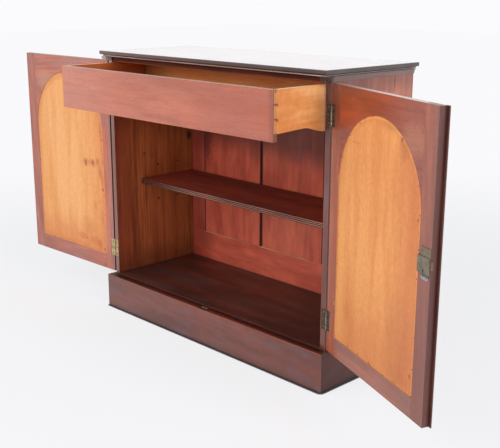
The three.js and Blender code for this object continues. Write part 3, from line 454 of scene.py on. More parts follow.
def metal(name, base, **changes):
    look = SimpleNamespace(**{**base, **changes})
    add = partial(addNode, newTree(name))
    place = add("TexCoord").outputs["Object"]
    patches = add("TexNoise", {"Vector": place, "Scale": 1000 / look.patch, "Detail": 4.0, "Roughness": 0.65})
    pits = add("TexNoise", {"Vector": place, "Scale": 1000 / look.pit, "Detail": 2.0})
    amount = add("MapRange", [patches, look.tarnishFrom, look.tarnishFrom + look.tarnishOver])
    colour = add("Mix", {"Factor": amount, "A": linear(look.clean), "B": linear(look.tarnish)}, data_type="RGBA")
    corners = add("AmbientOcclusion", {"Distance": mm(look.cornerReach)}, samples=6).outputs["AO"]
    dirt = add("MapRange", [corners, 0.4, 0.9, 0.75, 0.0])
    colour = add("Mix", {"Factor": dirt, "A": colour, "B": linear(look.dirt)}, data_type="RGBA")
    # bands across its length: from where to where in mm each grows, its strength and colour
    lengthwise = add("SeparateXYZ", [place])
    for start, end, strength, tint in look.bands:
        grown = add("MapRange", [lengthwise, mm(start), mm(end), 0.0, strength], **smooth)
        colour = add("Mix", {"Factor": grown, "A": colour, "B": linear(tint)}, data_type="RGBA")
    roughness = add("MapRange", [amount, 0.0, 1.0, look.roughness, look.tarnishRoughness])
    bump = add("Bump", {"Strength": 0.6, "Distance": mm(look.relief), "Height": pits})
    surface = add("BsdfPrincipled", {"Base Color": colour, "Roughness": roughness, "Metallic": look.metallic,
                                     "Normal": bump})
    add("OutputMaterial", [surface])


# cast and filed brass left to tarnish: dull grey-gold with brown patches, bright only where it is rubbed
agedBrass = dict(
    clean="#8c7f6c", tarnish="#665a4d", dirt="#2a2118", patch=30, pit=0.9, tarnishFrom=0.36, tarnishOver=0.25,
    cornerReach=3, roughness=0.42, tarnishRoughness=0.6, relief=0.05, metallic=0.6, bands=(),
)
metal("aged brass", agedBrass)
# hinge knuckles and edges: dirty brass, lighter as a painted highlight
metal("dirty brass", agedBrass, clean="#a59a86", tarnish="#54483a", patch=6)
metal("dark brass, hinge leaf", agedBrass, clean="#5a4c40", tarnish="#372c24", patch=7)
# the lock's plate, smooth and grey, with a dark stripe of painted shadow under the case over its lower tab, which is
# pale bluish as a painted reflection, and polish run over its edge
metal(
    "greyed brass, lock", agedBrass, clean="#83796b", tarnish="#6f6659", patch=26, pit=3, relief=0.02, metallic=0.4,
    bands=((17, 19, 0.5, "#7d7057"), (-24, -26, 0.9, "#4d5048"), (-30, -33, 0.9, "#a19ea4")),
)
metal("browned brass, lock edge", agedBrass, clean="#66463d", tarnish="#543830", metallic=0.3)
metal(
    "rubbed brass", agedBrass, clean="#cdb68c", tarnish="#8d754f", tarnishFrom=0.44, patch=10, roughness=0.3,
    metallic=0.8,
)
# near-white screw heads whose colour is a painted glint
metal(
    "steel screw heads, painted glint", agedBrass, clean="#e4dfd8", tarnish="#b5aca3", tarnishFrom=0.5, metallic=0.5,
)
# iron cut nails and screws, gone dark brown
metal(
    "old iron", agedBrass, clean="#4a3b33", tarnish="#2a1a14", roughness=0.5, tarnishRoughness=0.75, metallic=0.7,
)
print("finishes made:", len(finishes))


# Softened copies of the solids: the same shape with its sharp edges rubbed down

softLook = {
    "same": 0.005,  # mm within which two corners are one
    "flat": 0.5,  # degrees within which two faces are one
    "sharp": 40,  # degrees from which an edge is rubbed down
    "room": 2.6,  # times its width that every line beside a softened edge has to be long
    "doubled": (2, 165),  # mm beside a corner and degrees at it, from where it doubles back
    "shadedFlat": 28,  # degrees from which an edge stays crisp to the eye
}
along, outwards, up = Vector((1, 0, 0)), Vector((0, -1, 0)), Vector((0, 0, 1))


def turned(vector, degrees):
    return Matrix.Rotation(math.radians(degrees), 3, "Z") @ Vector(vector)


def boardAxes(grain, face):
    grain, face = Vector(grain).normalized(), Vector(face).normalized()
    return Matrix((grain, face.cross(grain), face)).transposed()


def roomToSoften(edge, size):
    needed = softLook["room"] * mm(size)
    return all(other.calc_length() > needed for vertex in edge.verts for other in vertex.link_edges)


def doublings(solid):
    # corners that double back: more of them than before means a softened edge wider than the strip beside it
    count, (beside, bend) = 0, softLook["doubled"]
    for facet in solid.faces:
        corners = [loop.vert.co for loop in facet.loops]
        for i, corner in enumerate(corners):
            before, after = corner - corners[i - 1], corners[(i + 1) % len(corners)] - corner
            longEnough = before.length > mm(beside) and after.length > mm(beside)
            if longEnough and before.angle(after) > math.radians(bend):
                count += 1
    return count


def softened(node, size, finishOf):
    solid = bmesh.new()
    solid.from_mesh(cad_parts[node].data)
    bmesh.ops.remove_doubles(solid, verts=solid.verts, dist=mm(softLook["same"]))
    bmesh.ops.dissolve_limit(solid, angle_limit=math.radians(softLook["flat"]), verts=solid.verts,
                             edges=solid.edges)
    bmesh.ops.recalc_face_normals(solid, faces=solid.faces)
    for facet in solid.faces:
        facet.material_index = finishOf(facet)
    rubbed = solid.faces.layers.float.new("rubbed")
    sharp = [e for e in solid.edges if len(e.link_faces) == 2 and e.is_convex
             and e.calc_face_angle(0) > math.radians(softLook["sharp"]) and roomToSoften(e, size)]
    if size > 0 and sharp:
        made = bmesh.ops.bevel(solid, geom=sharp, offset=mm(size), offset_type="OFFSET", segments=2, profile=0.5,
                               affect="EDGES", clamp_overlap=False)
        for facet in made["faces"]:
            facet[rubbed] = 1.0
    return solid


def fromNode(node, kind, finish, grain, face, body, edge=0.8, others=(), reach=0.7):
    def finishOf(facet):
        for index, (other, direction) in enumerate(others):
            if facet.normal.dot(Vector(direction)) > reach:
                return index + 1
        return 0

    plain = softened(node, 0, finishOf)
    allowed = doublings(plain)
    for size in (edge, edge / 2, edge / 4):
        solid = softened(node, size, finishOf)
        if doublings(solid) <= allowed:
            plain.free()
            break
        solid.free()
        solid = plain
    low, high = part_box(node)
    place = Matrix.Translation((Vector(low) + Vector(high)) / 2) @ boardAxes(grain, face).to_4x4()
    bmesh.ops.transform(solid, matrix=place.inverted(), verts=solid.verts)
    slots = [finish] + [other for other, direction in others]
    piece = meshPiece(f"{node}_{kind}", solid, [finishes[slot] for slot in slots], place, body)
    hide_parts(node)


def meshPiece(name, solid, materials, place, body):
    mesh = bpy.data.meshes.new(name)
    solid.to_mesh(mesh)
    solid.free()
    for material in materials:
        mesh.materials.append(material)
    mesh.polygons.foreach_set("use_smooth", [True] * len(mesh.polygons))
    mesh.set_sharp_from_angle(angle=math.radians(softLook["shadedFlat"]))
    values = mesh.attributes.new("seed", "FLOAT", "POINT")
    values.data.foreach_set("value", [random.Random(name).random()] * len(mesh.vertices))
    piece = newObject(name, mesh)
    piece.matrix_world = place
    flats = piece.modifiers.new("flat faces stay flat", "WEIGHTED_NORMAL")
    flats.keep_sharp = True
    flats.weight = 100
    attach(piece, body)
    return piece


# Case. Marks on a board are in mm from its middle, along the grain and across.

# darker at the top as a painted shadow under the drawer, and at the foot as painted shade in the corner
wood(
    "stained pine, left side", stainedPine, "#b86334", "#964a22", streak=(11, 0.58), ring=(4.6, 0.8, 0.3),
    mottle=(44, 15, 0.5), shades=(
        ("Y", -90, -200, 60, "#8e3b26", 0.75), ("Y", 20, 150, 90, "#a85f26", 0.5),
        ("X", 120, 330, 90, "#68290f", 0.75), ("X", -230, -345, 60, "#5e2812", 0.55),
    ),
    knots=((149, 164, 15, 0.9), (36, 153, 4, 0.6), (100, -58, 5, 0.7)),
)
# darker at the top as a painted shadow under the drawer, and by the left side and in its corners as painted shade
wood(
    "red washed pine, back frame", redWashedPine, railAbove=330, railBelow=-288,
    shades=(("X", 0, 120, 40, "#4e1b13", 0.75), ("Y", 380, 500, 40, "#82281a", 0.75)),
    knots=((95, 445, 60, 0.2, 64), (-310, 430, 60, 0.4, 60)), knotColour="#46140c",
)
# the back panels darken at the top as a painted shadow under the drawer, the left panel also towards the left side as
# painted shade
sidePanel = dict(redWashedPine, shades=(("X", 10, 105, 40, "#58211a", 0.75),))
wood("red washed pine, back panels", sidePanel)
wood("red washed pine, left panel", sidePanel, knots=((64, 132, 56, 0.8, 110),), knotColour="#4c150d")
wood(
    # the centre panel darkens at the top as a painted shadow under the drawer
    "red washed pine, centre panel", redWashedPine, "#d2664a", "#b04a38", shades=(
        ("X", 10, 100, 40, "#55251e", 0.8),
        # a dark band along the panel's edge beside the muntin, as a painted shadow in the groove there
        ("Y", 115.5, 116, 0.5, "#40100a", 0.97),
    ),
    knots=((60, -62, 26, 0.3), (95, -88, 14, 0.25), (150, -40, 22, 0.2)), knotColour="#4a2430",
)
# up-facing arrises of the back frame: pale with dust and a painted highlight
wood("red pine arris, dust and painted highlight", redWashedPine, "#cf9474", "#b27657")
wood("shaded red pine arris", redWashedPine, "#5c1a12", "#48130c", rub=0, polish=(0.0, 0.35), roughness=0.85)
wood(
    "polished mahogany, plinth side", mahogany, "#4d2017", "#3b1710", polish=(0.05, 0.3), roughness=0.6, bloom=0.4,
    bloomColour="#432a25", bloomSize=(150, 40),
    shades=(("Y", -20, -64, 30, "#3a1a15", 0.6), ("Y", 46, 58, 6, "#2a1f20", 0.85)),
)
wood(
    "polished mahogany, plinth", mahogany, "#7d3c2c", "#5f291d", polish=(0.42, 0.2), roughness=0.45, bloom=0.5,
    bloomColour="#634a52", bloomSize=(110, 40), streak=(9, 0.3), mottle=(36, 20, 0.42), shades=(
        ("Y", -20, -64, 30, "#4b2019", 0.7), ("X", 200, 540, 90, "#60281c", 0.5),
        ("X", -280, -540, 90, "#a06456", 0.15),
        # darker along its foot
        ("Y", -56, -61, 3, "#3a2f2f", 0.8),
    ),
)
wood(
    "worn mahogany ledge", darkMahogany, "#451a0e", "#331008", bloom=0.0, polish=(0.05, 0.32),
    shades=(("Z", -5, 2, 5, "#8c3312", 0.9), ("Z", 7, 11, 4, "#b04c22", 0.95), ("X", 60, -260, 80, "#4c2016", 0.65)),
    # darker round the keep
    knots=((-4, 60, 20, 0.85, 26),), knotColour="#241410",
)
# the front faces of the right cove's block, dark as a painted shadow under the slab
wood("mahogany cove block, painted shadow", darkMahogany, "#3c1d15", "#29120c", polish=(0.0, 0.32), rub=0.05)
# the right cove darkens at its front end as a painted shadow under the slab
wood(
    "greyed mahogany, right cove", mahogany, "#8a6f68", "#765c54", polish=(0.4, 0.16),
    shades=(("X", 172, 180, 3, "#22120f", 0.95),),
)
# the left cove, near white as a painted reflection
wood("pale mahogany cove, painted reflection", mahogany, "#f8f0eb", "#e4d7d0", polish=(1.0, 0.16), streak=(9, 0.15), grime=0.2)
wood(
    "streaked dark mahogany, bottom board", darkMahogany, "#5b2614", "#34140a", streak=(12, 0.6),
    mottle=(40, 10, 0.65), fibre=(1.4, 0.35), polish=(0.25, 0.32), shades=(("X", 10, 380, 160, "#250b06", 0.95),),
    knots=((-14, -172, 22, 0.7, 40),), knotColour="#1c0906",
)
# a painted shadow on the front strip beside the door, and painted shade under the cove
wood(
    "waxed mahogany, right side", mahogany, "#b8674c", "#934834", streak=(12, 0.35), polish=(0.45, 0.16), rub=0.1,
    shades=(
        ("Y", 40, -110, 30, "#d28468", 0.5), ("Y", 90, 184, 10, "#6e2810", 0.85), ("X", 395, 450, 20, "#633328", 0.5),
    ),
    knots=((444, -100, 2.2, 1.0, 34),), knotColour="#2a110b",
)

# node: finish, grain, face, and what other finish shows towards a direction
caseBoards = {
    "top_board": ("polished mahogany, top", along, up,
                  (("dark polished mahogany, top edge", outwards),
                   ("greyed polished mahogany, right top edge", along))),
    "top_cove_left": ("pale mahogany cove, painted reflection", outwards, -along, ()),
    "top_cove_right": ("greyed mahogany, right cove", outwards, along,
                       (("mahogany cove block, painted shadow", outwards), ("mahogany cove block, painted shadow", -along))),
    "top_rail_front": ("dark mahogany, front rail", along, outwards, ()),
    "top_rail_back": ("stained pine", along, up, ()),
    **{f"drawer_{part}_{side}": ("stained pine", outwards, up, ())
       for part in ("kicker", "runner") for side in ("left", "right")},
    "case_side_left": ("stained pine, left side", up, -along,
                       (("polished mahogany", -along), ("greyed mahogany, case edge", outwards))),
    "case_side_right": ("stained pine", up, along,
                        (("waxed mahogany, right side", along), ("polished mahogany, right case edge", outwards))),
    "bottom_board": ("streaked dark mahogany, bottom board", along, up, (("dark red mahogany edge", outwards),)),
    "back_frame": ("red washed pine, back frame", up, outwards,
                   (("red pine arris, dust and painted highlight", (up + outwards).normalized()),
                    ("shaded red pine arris", (outwards + along).normalized()),
                    ("stained pine", -outwards))),
    "back_panel_left": ("red washed pine, left panel", up, outwards, (("stained pine", -outwards),)),
    "back_panel_centre": ("red washed pine, centre panel", up, outwards, (("stained pine", -outwards),)),
    "back_panel_right": ("red washed pine, back panels", up, outwards, (("stained pine", -outwards),)),
    "plinth_front": ("polished mahogany, plinth", along, outwards, (("worn mahogany ledge", up),)),
    "plinth_left": ("polished mahogany, plinth", outwards, -along, (("dark mahogany edge", up),)),
    "plinth_right": ("polished mahogany, plinth side", outwards, along, (("dark mahogany edge", up),)),
    "plinth_back": ("stained pine", along, outwards, ()),
    "plinth_front_bearer": ("stained pine", along, outwards, ()),
    "plinth_centre_bearer": ("stained pine", outwards, along, ()),
}
for node, (finish, grain, face, others) in caseBoards.items():
    reach = 0.9 if node == "back_frame" else 0.7
    fromNode(node, "wood", finish, grain, face, "carcass", others=others, reach=reach)
# reed facets facing forward and a little up take the painted highlight, those facing steeply up or down the painted
# shade
reedFaces = [outwards * math.cos(math.radians(angle)) + up * math.sin(math.radians(angle))
             for angle in (15, 45, 75, -15, -45, -75)]
reedHighlightAndShade = ["mahogany reeds, painted highlight"] * 2 + ["mahogany reeds, painted shade"] * 4
fromNode("shelf", "wood", "dark mahogany shelf", along, up, "carcass", edge=0,
         others=tuple(zip(reedHighlightAndShade, reedFaces)), reach=0.98)
for side in ("left", "right"):
    for place in ("front", "rear"):
        fromNode(f"shelf_peg_{side}_{place}", "wood", "stained pine", along, up, "carcass", edge=0)
print("case made")


# Drawer

wood(
    "figured mahogany, drawer front", mahogany, "#c07059", "#a65c46", ringColour="#8d4636", streakColour="#7c3e33",
    ring=(9, 1.6, 0.08), streak=(4, 0.22), mottle=(90, 14, 0.26), bloom=0.12, polish=(0.3, 0.3), roughness=0.5,
    shades=(
        ("X", -150, -480, 160, "#cb8571", 0.6), ("X", 0, 420, 160, "#a8543b", 0.6),
        ("X", 488, 504, 6, "#8a4636", 0.7),
    ),
)
wood(
    "mahogany lap, drawer front", mahogany, "#a06c55", "#7e4d3a", polish=(0.1, 0.16), endGrain=0.3, grime=0.25,
    grimeReach=5,
)
# paler towards the rear as painted light against the shade there
wood(
    "bare pine, drawer side", barePine, "#f8b878", "#e89a55", ring=(4.6, 0.8, 0.04), streak=(14, 0.2),
    toneSize=(160, 34), mottle=(16, 24, 0.34), grime=0.2, shades=(
        ("X", 20, 170, 60, "#cc8044", 0.6), ("X", 0, -36, 20, "#ffbd90", 0.6), ("X", 164, 174, 6, "#b08058", 0.6),
    ),
    knots=((173, -60, 3.5, 0.8), (166, -24, 4, 0.6), (166, 18, 4, 0.6), (166, 58, 4, 0.5)), knotColour="#6b3c22",
)
wood("dusty pine edge", barePine, "#f7e3cd", "#ead0b2", shades=(("X", 70, 0, 30, "#d98f58", 0.85),))
# a darker copy of the bare pine for the drawer's inner faces: painted shade
wood("bare pine, inside the drawer", barePine, "#c5672f", "#a95022")
# a lighter copy of the bare pine as painted light on the back's inner face, darker at its left end as a painted
# shadow
wood(
    "bare pine, drawer back", barePine, "#ffbb74", "#f0a15e", shades=(("X", -330, -490, 90, "#7a3a18", 0.8),),
)

drawerBoards = {
    "drawer_front": ("figured mahogany, drawer front", along, outwards,
                     (("pale mahogany top edge, dust and painted highlight", up), ("mahogany lap, drawer front", along))),
    "drawer_side_left": ("bare pine, drawer side", outwards, -along,
                         (("bare pine, inside the drawer", along), ("dusty pine edge", up))),
    "drawer_side_right": ("bare pine, drawer side", outwards, along,
                          (("bare pine, inside the drawer", -along), ("dusty pine edge", up))),
    "drawer_back": ("bare pine", along, outwards, (("bare pine, drawer back", outwards),)),
    "drawer_bottom": ("bare pine", along, up, (("bare pine, inside the drawer", up),)),
}
for node, (finish, grain, face, others) in drawerBoards.items():
    fromNode(node, "wood", finish, grain, face, "drawer", others=others)
print("drawer made")


# Doors. A place on a door is given by its distance from the hinge edge and its height above the floor, in mm.

doorLook = {
    "pin": (534.0, -178.25),
    "pinToEdge": 4.0,
    "innerFace": 0.25,
    "middle": (261.75, 533.8),  # of the panel's width, and of the door's height
}
doorTurn = {"left": -178.0, "right": 157.5}  # degrees from closed, as photographed
doorSign = {"left": -1, "right": 1}
doorOut = {side: turned(outwards, doorTurn[side]) for side in doorTurn}
doorAcross = {side: turned(-along * doorSign[side], doorTurn[side]) for side in doorTurn}

# the same on the right door, darker towards its hinge end
wood(
    "dusty mahogany edge, right door", mahogany, "#e4d5cb", "#c4ada0", polish=(0.1, 0.16), roughness=0.6,
    ring=(9, 1.6, 0.1), shades=(("X", -40, -190, 40, "#8a6a5e", 0.8),),
)
# the rebate walls round a panel: pale as painted light
wood("unpolished mahogany, panel rebate", barePine, "#eeb487", "#dd9c6e", grime=0.1, rubColour="#e0a27c")
wood(
    "waxed mahogany, hinge edge", mahogany, "#8a482e", "#6e351f", polish=(0.05, 0.16), roughness=0.7, rub=0.05,
    bloom=0.05,
)
doorMahogany = dict(
    mahogany, light="#b8644a", dark="#9a4c36", bloom=0.25, polish=(0.55, 0.26), streak=(5, 0.35), grime=0.15,
    grimeReach=5,
)

doorFinishes = {
    "left": {
        "hinge_stile": dict(
            doorMahogany, light="#d2744e", dark="#b25a3b", mottle=(24, 8, 0.4),
            # bluish towards the hinge edge, as a painted reflection
            shades=(("Y", 4, 20, 16, "#8e7478", 0.5),),
            # a violet-grey patch of painted reflection
            knots=((180, -14, 9, 0.5, 44),), knotColour="#86687a",
        ),
        "lock_stile": doorMahogany,
        "arched_rail": dict(
            doorMahogany, light="#c06f55", dark="#a75943", streak=(8, 0.2), bloom=0.35,
            knots=((147, 20, 44, 0.25, 66),), knotColour="#dfab93",
        ),
        "bottom_rail": dict(doorMahogany, light="#bd6950", dark="#a2543f"),
    },
    "right": {
        "hinge_stile": dict(
            doorMahogany, light="#c0643f", dark="#a04d2d", bloom=0.12, polish=(0.35, 0.4),
            shades=(("X", 200, 350, 60, "#682710", 0.88),),
            # pale dents in the polish
            knots=((190, 21, 2.4, 0.9), (-236, 14, 1.6, 0.8, 8), (-214, 12, 1.4, 0.6, 5)), knotColour="#dcc4b0",
        ),
        "lock_stile": dict(
            doorMahogany, light="#a65941", dark="#884431", bloom=0.08,
            shades=(("X", 60, -300, 120, "#76321b", 0.78), ("Y", 6, 26, 8, "#7a463a", 0.6)),
        ),
        "arched_rail": dict(
            doorMahogany, light="#a5421c", dark="#813013", bloom=0.05, streak=(12, 0.55), mottle=(60, 22, 0.3),
            polish=(0.4, 0.35), shades=(("X", 0, 190, 120, "#955244", 0.75),), knots=((172, -32, 44, 0.3, 66),),
            knotColour="#d08c68",
        ),
        "bottom_rail": dict(
            doorMahogany, light="#a5583e", dark="#87442f", bloom=0.12, shades=(("X", 20, 214, 60, "#7a3e2a", 0.6),),
        ),
    },
}

# marks on the bare panels: from the hinge edge, height, radius, how dark, half the height if it is long
panelMarks = {
    "left": ((162, 539, 12, 0.6), (162, 539, 4.5, 0.8), (116, 541, 12, 0.55), (116, 541, 4.5, 0.85),
             (139, 540, 46, 0.26, 16), (84, 548, 14, 0.45), (74, 508, 12, 0.45, 30), (56, 635, 5, 0.55),
             (62, 668, 10, 0.35, 40), (57, 600, 5, 0.3, 20), (58, 444, 6, 0.75), (60, 480, 9, 0.35, 30),
             (56, 550, 7, 0.3, 24), (113, 374, 12, 0.22, 18), (78, 396, 8, 0.2), (172, 232, 4, 0.8),
             (200, 236, 34, 0.28, 16), (120, 232, 44, 0.3, 20), (150, 284, 44, 0.16, 40), (60, 207, 6, 0.85),
             (90, 222, 16, 0.35), (70, 330, 14, 0.25, 40)),
    "right": ((375, 833, 5, 0.7), (464, 652, 4, 0.6), (91, 790, 4, 0.4), (400, 330, 70, 0.12, 150),
              (400, 215, 60, 0.1, 40), (120, 300, 20, 0.10), (140, 790, 34, 0.22, 3), (330, 860, 60, 0.2, 14),
              (388, 812, 26, 0.25, 34), (131, 197, 5, 0.6), (191, 198, 4, 0.6), (255, 197, 5, 0.6),
              (388, 197, 4, 0.6), (462, 245, 5, 0.6)),
}
# the bevelled rim of a panel on its own axes, with bands along it, the pale band nearest the edge being painted light
# on the bevel: from, to, how strong, colour
panelRim = dict(spring=126.45, radius=213.75, foot=-342.8, ragged=8)
panelLooks = {
    "left": dict(
        barePine, light="#f0b072", dark="#e49b58", knotColour="#a8481f", mottle=(15, 12, 0.3), grime=0.12,
        streak=(6, 0.08), ring=(4.6, 0.8, 0.06),
        rim=dict(panelRim, bands=((8, 30, 0.4, "#cd7840"), (0, 8, 0.6, "#eba877"))),
        shades=(("Y", 60, 205, 70, "#df8f52", 0.7), ("X", -190, -330, 110, "#d67f48", 0.65)),
    ),
    "right": dict(
        barePine, light="#e89f5c", dark="#d9894a", knotColour="#6d3418", mottle=(13, 10, 0.36), grime=0.12,
        streak=(6, 0.06), ring=(4.6, 0.8, 0.05),
        rim=dict(panelRim, bands=((8, 20, 0.35, "#cc7a3c"), (0, 8, 0.7, "#efa75f"))),
        shades=(("X", -60, -320, 120, "#c4703a", 0.6), ("Y", -120, -210, 60, "#eda960", 0.5),
                ("Y", 60, 190, 60, "#c87246", 0.65)),
    ),
}


def doorPoint(side, fromHinge, height, depth=0.0):
    # depth counts from the inner face through the door
    pin = Vector((doorSign[side] * mm(doorLook["pin"][0]), mm(doorLook["pin"][1]), 0))
    return (pin + doorAcross[side] * mm(fromHinge + doorLook["pinToEdge"])
            + doorOut[side] * mm(doorLook["innerFace"] + depth) + up * mm(height))


def makeDoor(side):
    body = side + "_door"
    across, out = doorAcross[side], doorOut[side]
    middle, half = doorLook["middle"]
    for part, look in doorFinishes[side].items():
        wood(f"mahogany, {side} door {part}", look)
    knots = tuple((height - half, doorSign[side] * (fromHinge - middle), *mark)
                  for fromHinge, height, *mark in panelMarks[side])
    wood(f"bare pine, {side} door panel", panelLooks[side], knots=knots)
    outside = ("polished mahogany", out)
    # up-facing top edges: dust and a painted highlight
    dusty = ("dusty mahogany edge, right door" if side == "right" else "pale mahogany top edge, dust and painted highlight", up)
    # the walls of the rebate that the panel lies in are painted pale, as painted light against the shade in the gap
    bare = [("unpolished mahogany, panel rebate", direction) for direction in
            (-up, across, -across, (across - up).normalized(), (-across - up).normalized())]
    boards = {
        "hinge_stile": (up, (outside, dusty, bare[1], ("waxed mahogany, hinge edge", -across))),
        "lock_stile": (up, (outside, dusty, ("dark mahogany edge", across), bare[2])),
        "arched_rail": (across, (outside, dusty, *bare)),
        "bottom_rail": (across, (outside, ("unpolished mahogany, panel rebate", up))),
    }
    for part, (grain, others) in boards.items():
        fromNode(f"{body}_{part}", "wood", f"mahogany, {side} door {part}", grain, out, body, edge=0.4, others=others)
    fromNode(body + "_panel", "wood", f"bare pine, {side} door panel", up, out, body, others=(outside,))
    fromNode(body + "_moulding", "wood", "polished mahogany", up, out, body, edge=0)
    if side == "right":
        fromNode("right_door_astragal", "wood", "dark mahogany", up, out, body)


for side in ("left", "right"):
    makeDoor(side)
print("doors made")


# Brass

levels = ("lower", "upper")
brassNodes = {
    "carcass": [f"case_hinge_leaf_{side}_{level}" for side in doorTurn for level in levels] + ["bolt_keep"],
    "left_door": [f"left_door_hinge_leaf_{level}" for level in levels] + [f"{level}_bolt_plate" for level in levels],
    "right_door": [f"right_door_hinge_leaf_{level}" for level in levels] + ["lock_case"],
    "lock_bolt": ["lock_bolt"],
    "lower_bolt": ["lower_bolt"],
    "upper_bolt": ["upper_bolt"],
}
for body, members in brassNodes.items():
    for node in members:
        finish, others = "aged brass", ()
        if node == "lock_case":
            finish, others = "greyed brass, lock", (("browned brass, lock edge", doorAcross["right"]),)
        elif "hinge" in node and "left" in node and "lower" in node:
            finish = "rubbed brass"
        elif "hinge" in node:
            # the knuckle and edges of a leaf take the lighter brass as a painted highlight, its flat face the darker
            # one
            flat = outwards if body == "carcass" else -doorOut[body[:-5]]
            finish, others = "dirty brass", (("dark brass, hinge leaf", flat),)
        fromNode(node, "brass", finish, up, along, body, edge=0.25, others=others, reach=0.98)

screwLook = {"radius": 2.9, "proud": 0.25, "slot": 0.8}
smallScrewLook = {"radius": 2.2, "proud": 0.3, "slot": 0.6}
keepScrewLook = {"radius": 2.8, "proud": 0.3, "slot": 0.6}
nailLook = {"radius": 1.5, "proud": 0.3, "slot": 0.0}
headLook = {"sunk": 0.3, "rimShare": 0.93, "slotFloor": 0.02, "floorShare": 0.9, "nailSides": 9, "arcSteps": 7,
            "floorSides": 12}


def wall(solid, ring, other):
    # faces from one ring of corners to the next
    for i in range(len(ring)):
        j = (i + 1) % len(ring)
        solid.faces.new((ring[i], ring[j], other[j], other[i]))


def addHead(solid, place, normal, look, turn):
    # a flat countersunk head: two half discs either side of a slot, over the bottom of the slot
    radius, slot = mm(look["radius"]), mm(look["slot"])
    normal = normal.normalized()
    side = Matrix.Rotation(turn, 3, normal) @ normal.orthogonal().normalized()
    other = normal.cross(side)

    def disc(angles, size, high):
        points = [(size * math.cos(a), size * math.sin(a)) for a in angles]
        share = headLook["rimShare"]
        bottom = [solid.verts.new(place + side * x + other * y - normal * mm(headLook["sunk"])) for x, y in points]
        top = [solid.verts.new(place + side * x * share + other * y * share + normal * high) for x, y in points]
        solid.faces.new(top)
        solid.faces.new(bottom[::-1])
        wall(solid, bottom, top)

    if slot == 0:
        sides = headLook["nailSides"]
        disc([math.tau * i / sides for i in range(sides)], radius, mm(look["proud"]))
        return
    half, steps, sides = math.asin(slot / 2 / radius), headLook["arcSteps"], headLook["floorSides"]
    for way in (0, math.pi):
        disc([half + way + (math.pi - 2 * half) * i / steps for i in range(steps + 1)], radius, mm(look["proud"]))
    disc([math.tau * i / sides for i in range(sides)], radius * headLook["floorShare"], mm(headLook["slotFloor"]))


def makeHeads(name, places, normal, look, finish, body):
    solid = bmesh.new()
    turns = random.Random(name)
    middle = sum(places, Vector()) / len(places)
    for place in places:
        addHead(solid, place - middle, normal, look, turns.uniform(0, math.tau))
    addBrass(name, solid, finish, middle, body)


def addBrass(name, solid, finish, place, body):
    meshPiece(name, solid, [finishes[finish]], Matrix.Translation(place), body)


hingeLook = {"heights": (229, 843), "screwHeights": (-23, 0, 23), "fromEdge": (6.5, 9.5, 6.5), "leafDepth": 0.2,
             "caseEdge": 530, "caseLeafFace": -177.8}
panelNails = {"depth": 1.35, "fromEdge": 6.0, "spacing": 74.0, "left": 48.0, "right": 475.5, "low": 191.0,
              "archCentre": (261.75, 660.25), "archRadius": 213.75, "scatter": (2, 9)}


def rimPlaces():
    # nail places round the panel, just inside its edge: up one side, round the arch, down and along the foot
    look = panelNails
    inset = look["fromEdge"]
    (middle, spring), radius = look["archCentre"], look["archRadius"] - inset
    left, right, low = look["left"] + inset, look["right"] - inset, look["low"] + inset
    places = []
    rise = spring - low
    count = round(rise / look["spacing"])
    for i in range(count):
        places += [(left, low + rise * i / count), (right, low + rise * i / count)]
    steps = round(math.pi * radius / look["spacing"])
    places += [(middle + radius * math.cos(math.pi * i / steps), spring + radius * math.sin(math.pi * i / steps))
               for i in range(steps + 1)]
    count = round((right - left) / look["spacing"])
    places += [(left + (right - left) * i / count, low) for i in range(1, count)]
    return places


for side in ("left", "right"):
    body = side + "_door"
    inside = -doorOut[side]
    scatter = random.Random(side)
    aside, rise = panelNails["scatter"]
    nails = [doorPoint(side, fromHinge + scatter.uniform(-aside, aside), height + scatter.uniform(-rise, rise),
                       panelNails["depth"])
             for fromHinge, height in rimPlaces()]
    makeHeads(body + "_panel_nails", nails, inside, nailLook, "old iron", body)
    for level, middle in zip(levels, hingeLook["heights"]):
        places = [(fromEdge, middle + higher) for fromEdge, higher in
                  zip(hingeLook["fromEdge"], hingeLook["screwHeights"])]
        screws = [doorPoint(side, fromEdge, height, hingeLook["leafDepth"]) for fromEdge, height in places]
        makeHeads(f"{body}_{level}_hinge_screws", screws, inside, screwLook, "aged brass", body)
        screws = [Vector((doorSign[side] * mm(hingeLook["caseEdge"] - fromEdge), mm(hingeLook["caseLeafFace"]),
                          mm(height))) for fromEdge, height in places]
        makeHeads(f"case_{side}_{level}_hinge_screws", screws, outwards, screwLook, "aged brass", "carcass")

# from the hinge edge, height
lockLook = {"screws": ((495, 585), (521, 585), (499, 521), (517, 521)), "plateDepth": -1.6}
lockScrews = [doorPoint("right", fromHinge, height, lockLook["plateDepth"])
              for fromHinge, height in lockLook["screws"]]
makeHeads("lock_screws", lockScrews, -doorOut["right"], screwLook, "aged brass", "right_door")

# lower keep on the plinth, and the two screws of each flush bolt's plate in the door's edge
keepLow, keepHigh = (Vector(corner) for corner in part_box("bolt_keep"))
keepMiddle, screwInset = (keepLow + keepHigh) / 2, 6
keepHalf = (keepHigh.x - keepLow.x) / 2
keepScrews = [Vector((keepMiddle.x + side * (keepHalf - mm(screwInset)), keepMiddle.y, keepHigh.z))
              for side in (-1, 1)]
makeHeads("bolt_keep_screws", keepScrews, up, keepScrewLook, "steel screw heads, painted glint", "carcass")
boltPlateLook = {"face": 529.5, "depth": 9, "lower": (146, 246), "upper": (921.5, 821.5)}
for level in levels:
    screws = [doorPoint("left", boltPlateLook["face"], height, boltPlateLook["depth"])
              for height in boltPlateLook[level]]
    makeHeads(f"{level}_bolt_plate_screws", screws, doorAcross["left"], smallScrewLook, "aged brass", "left_door")


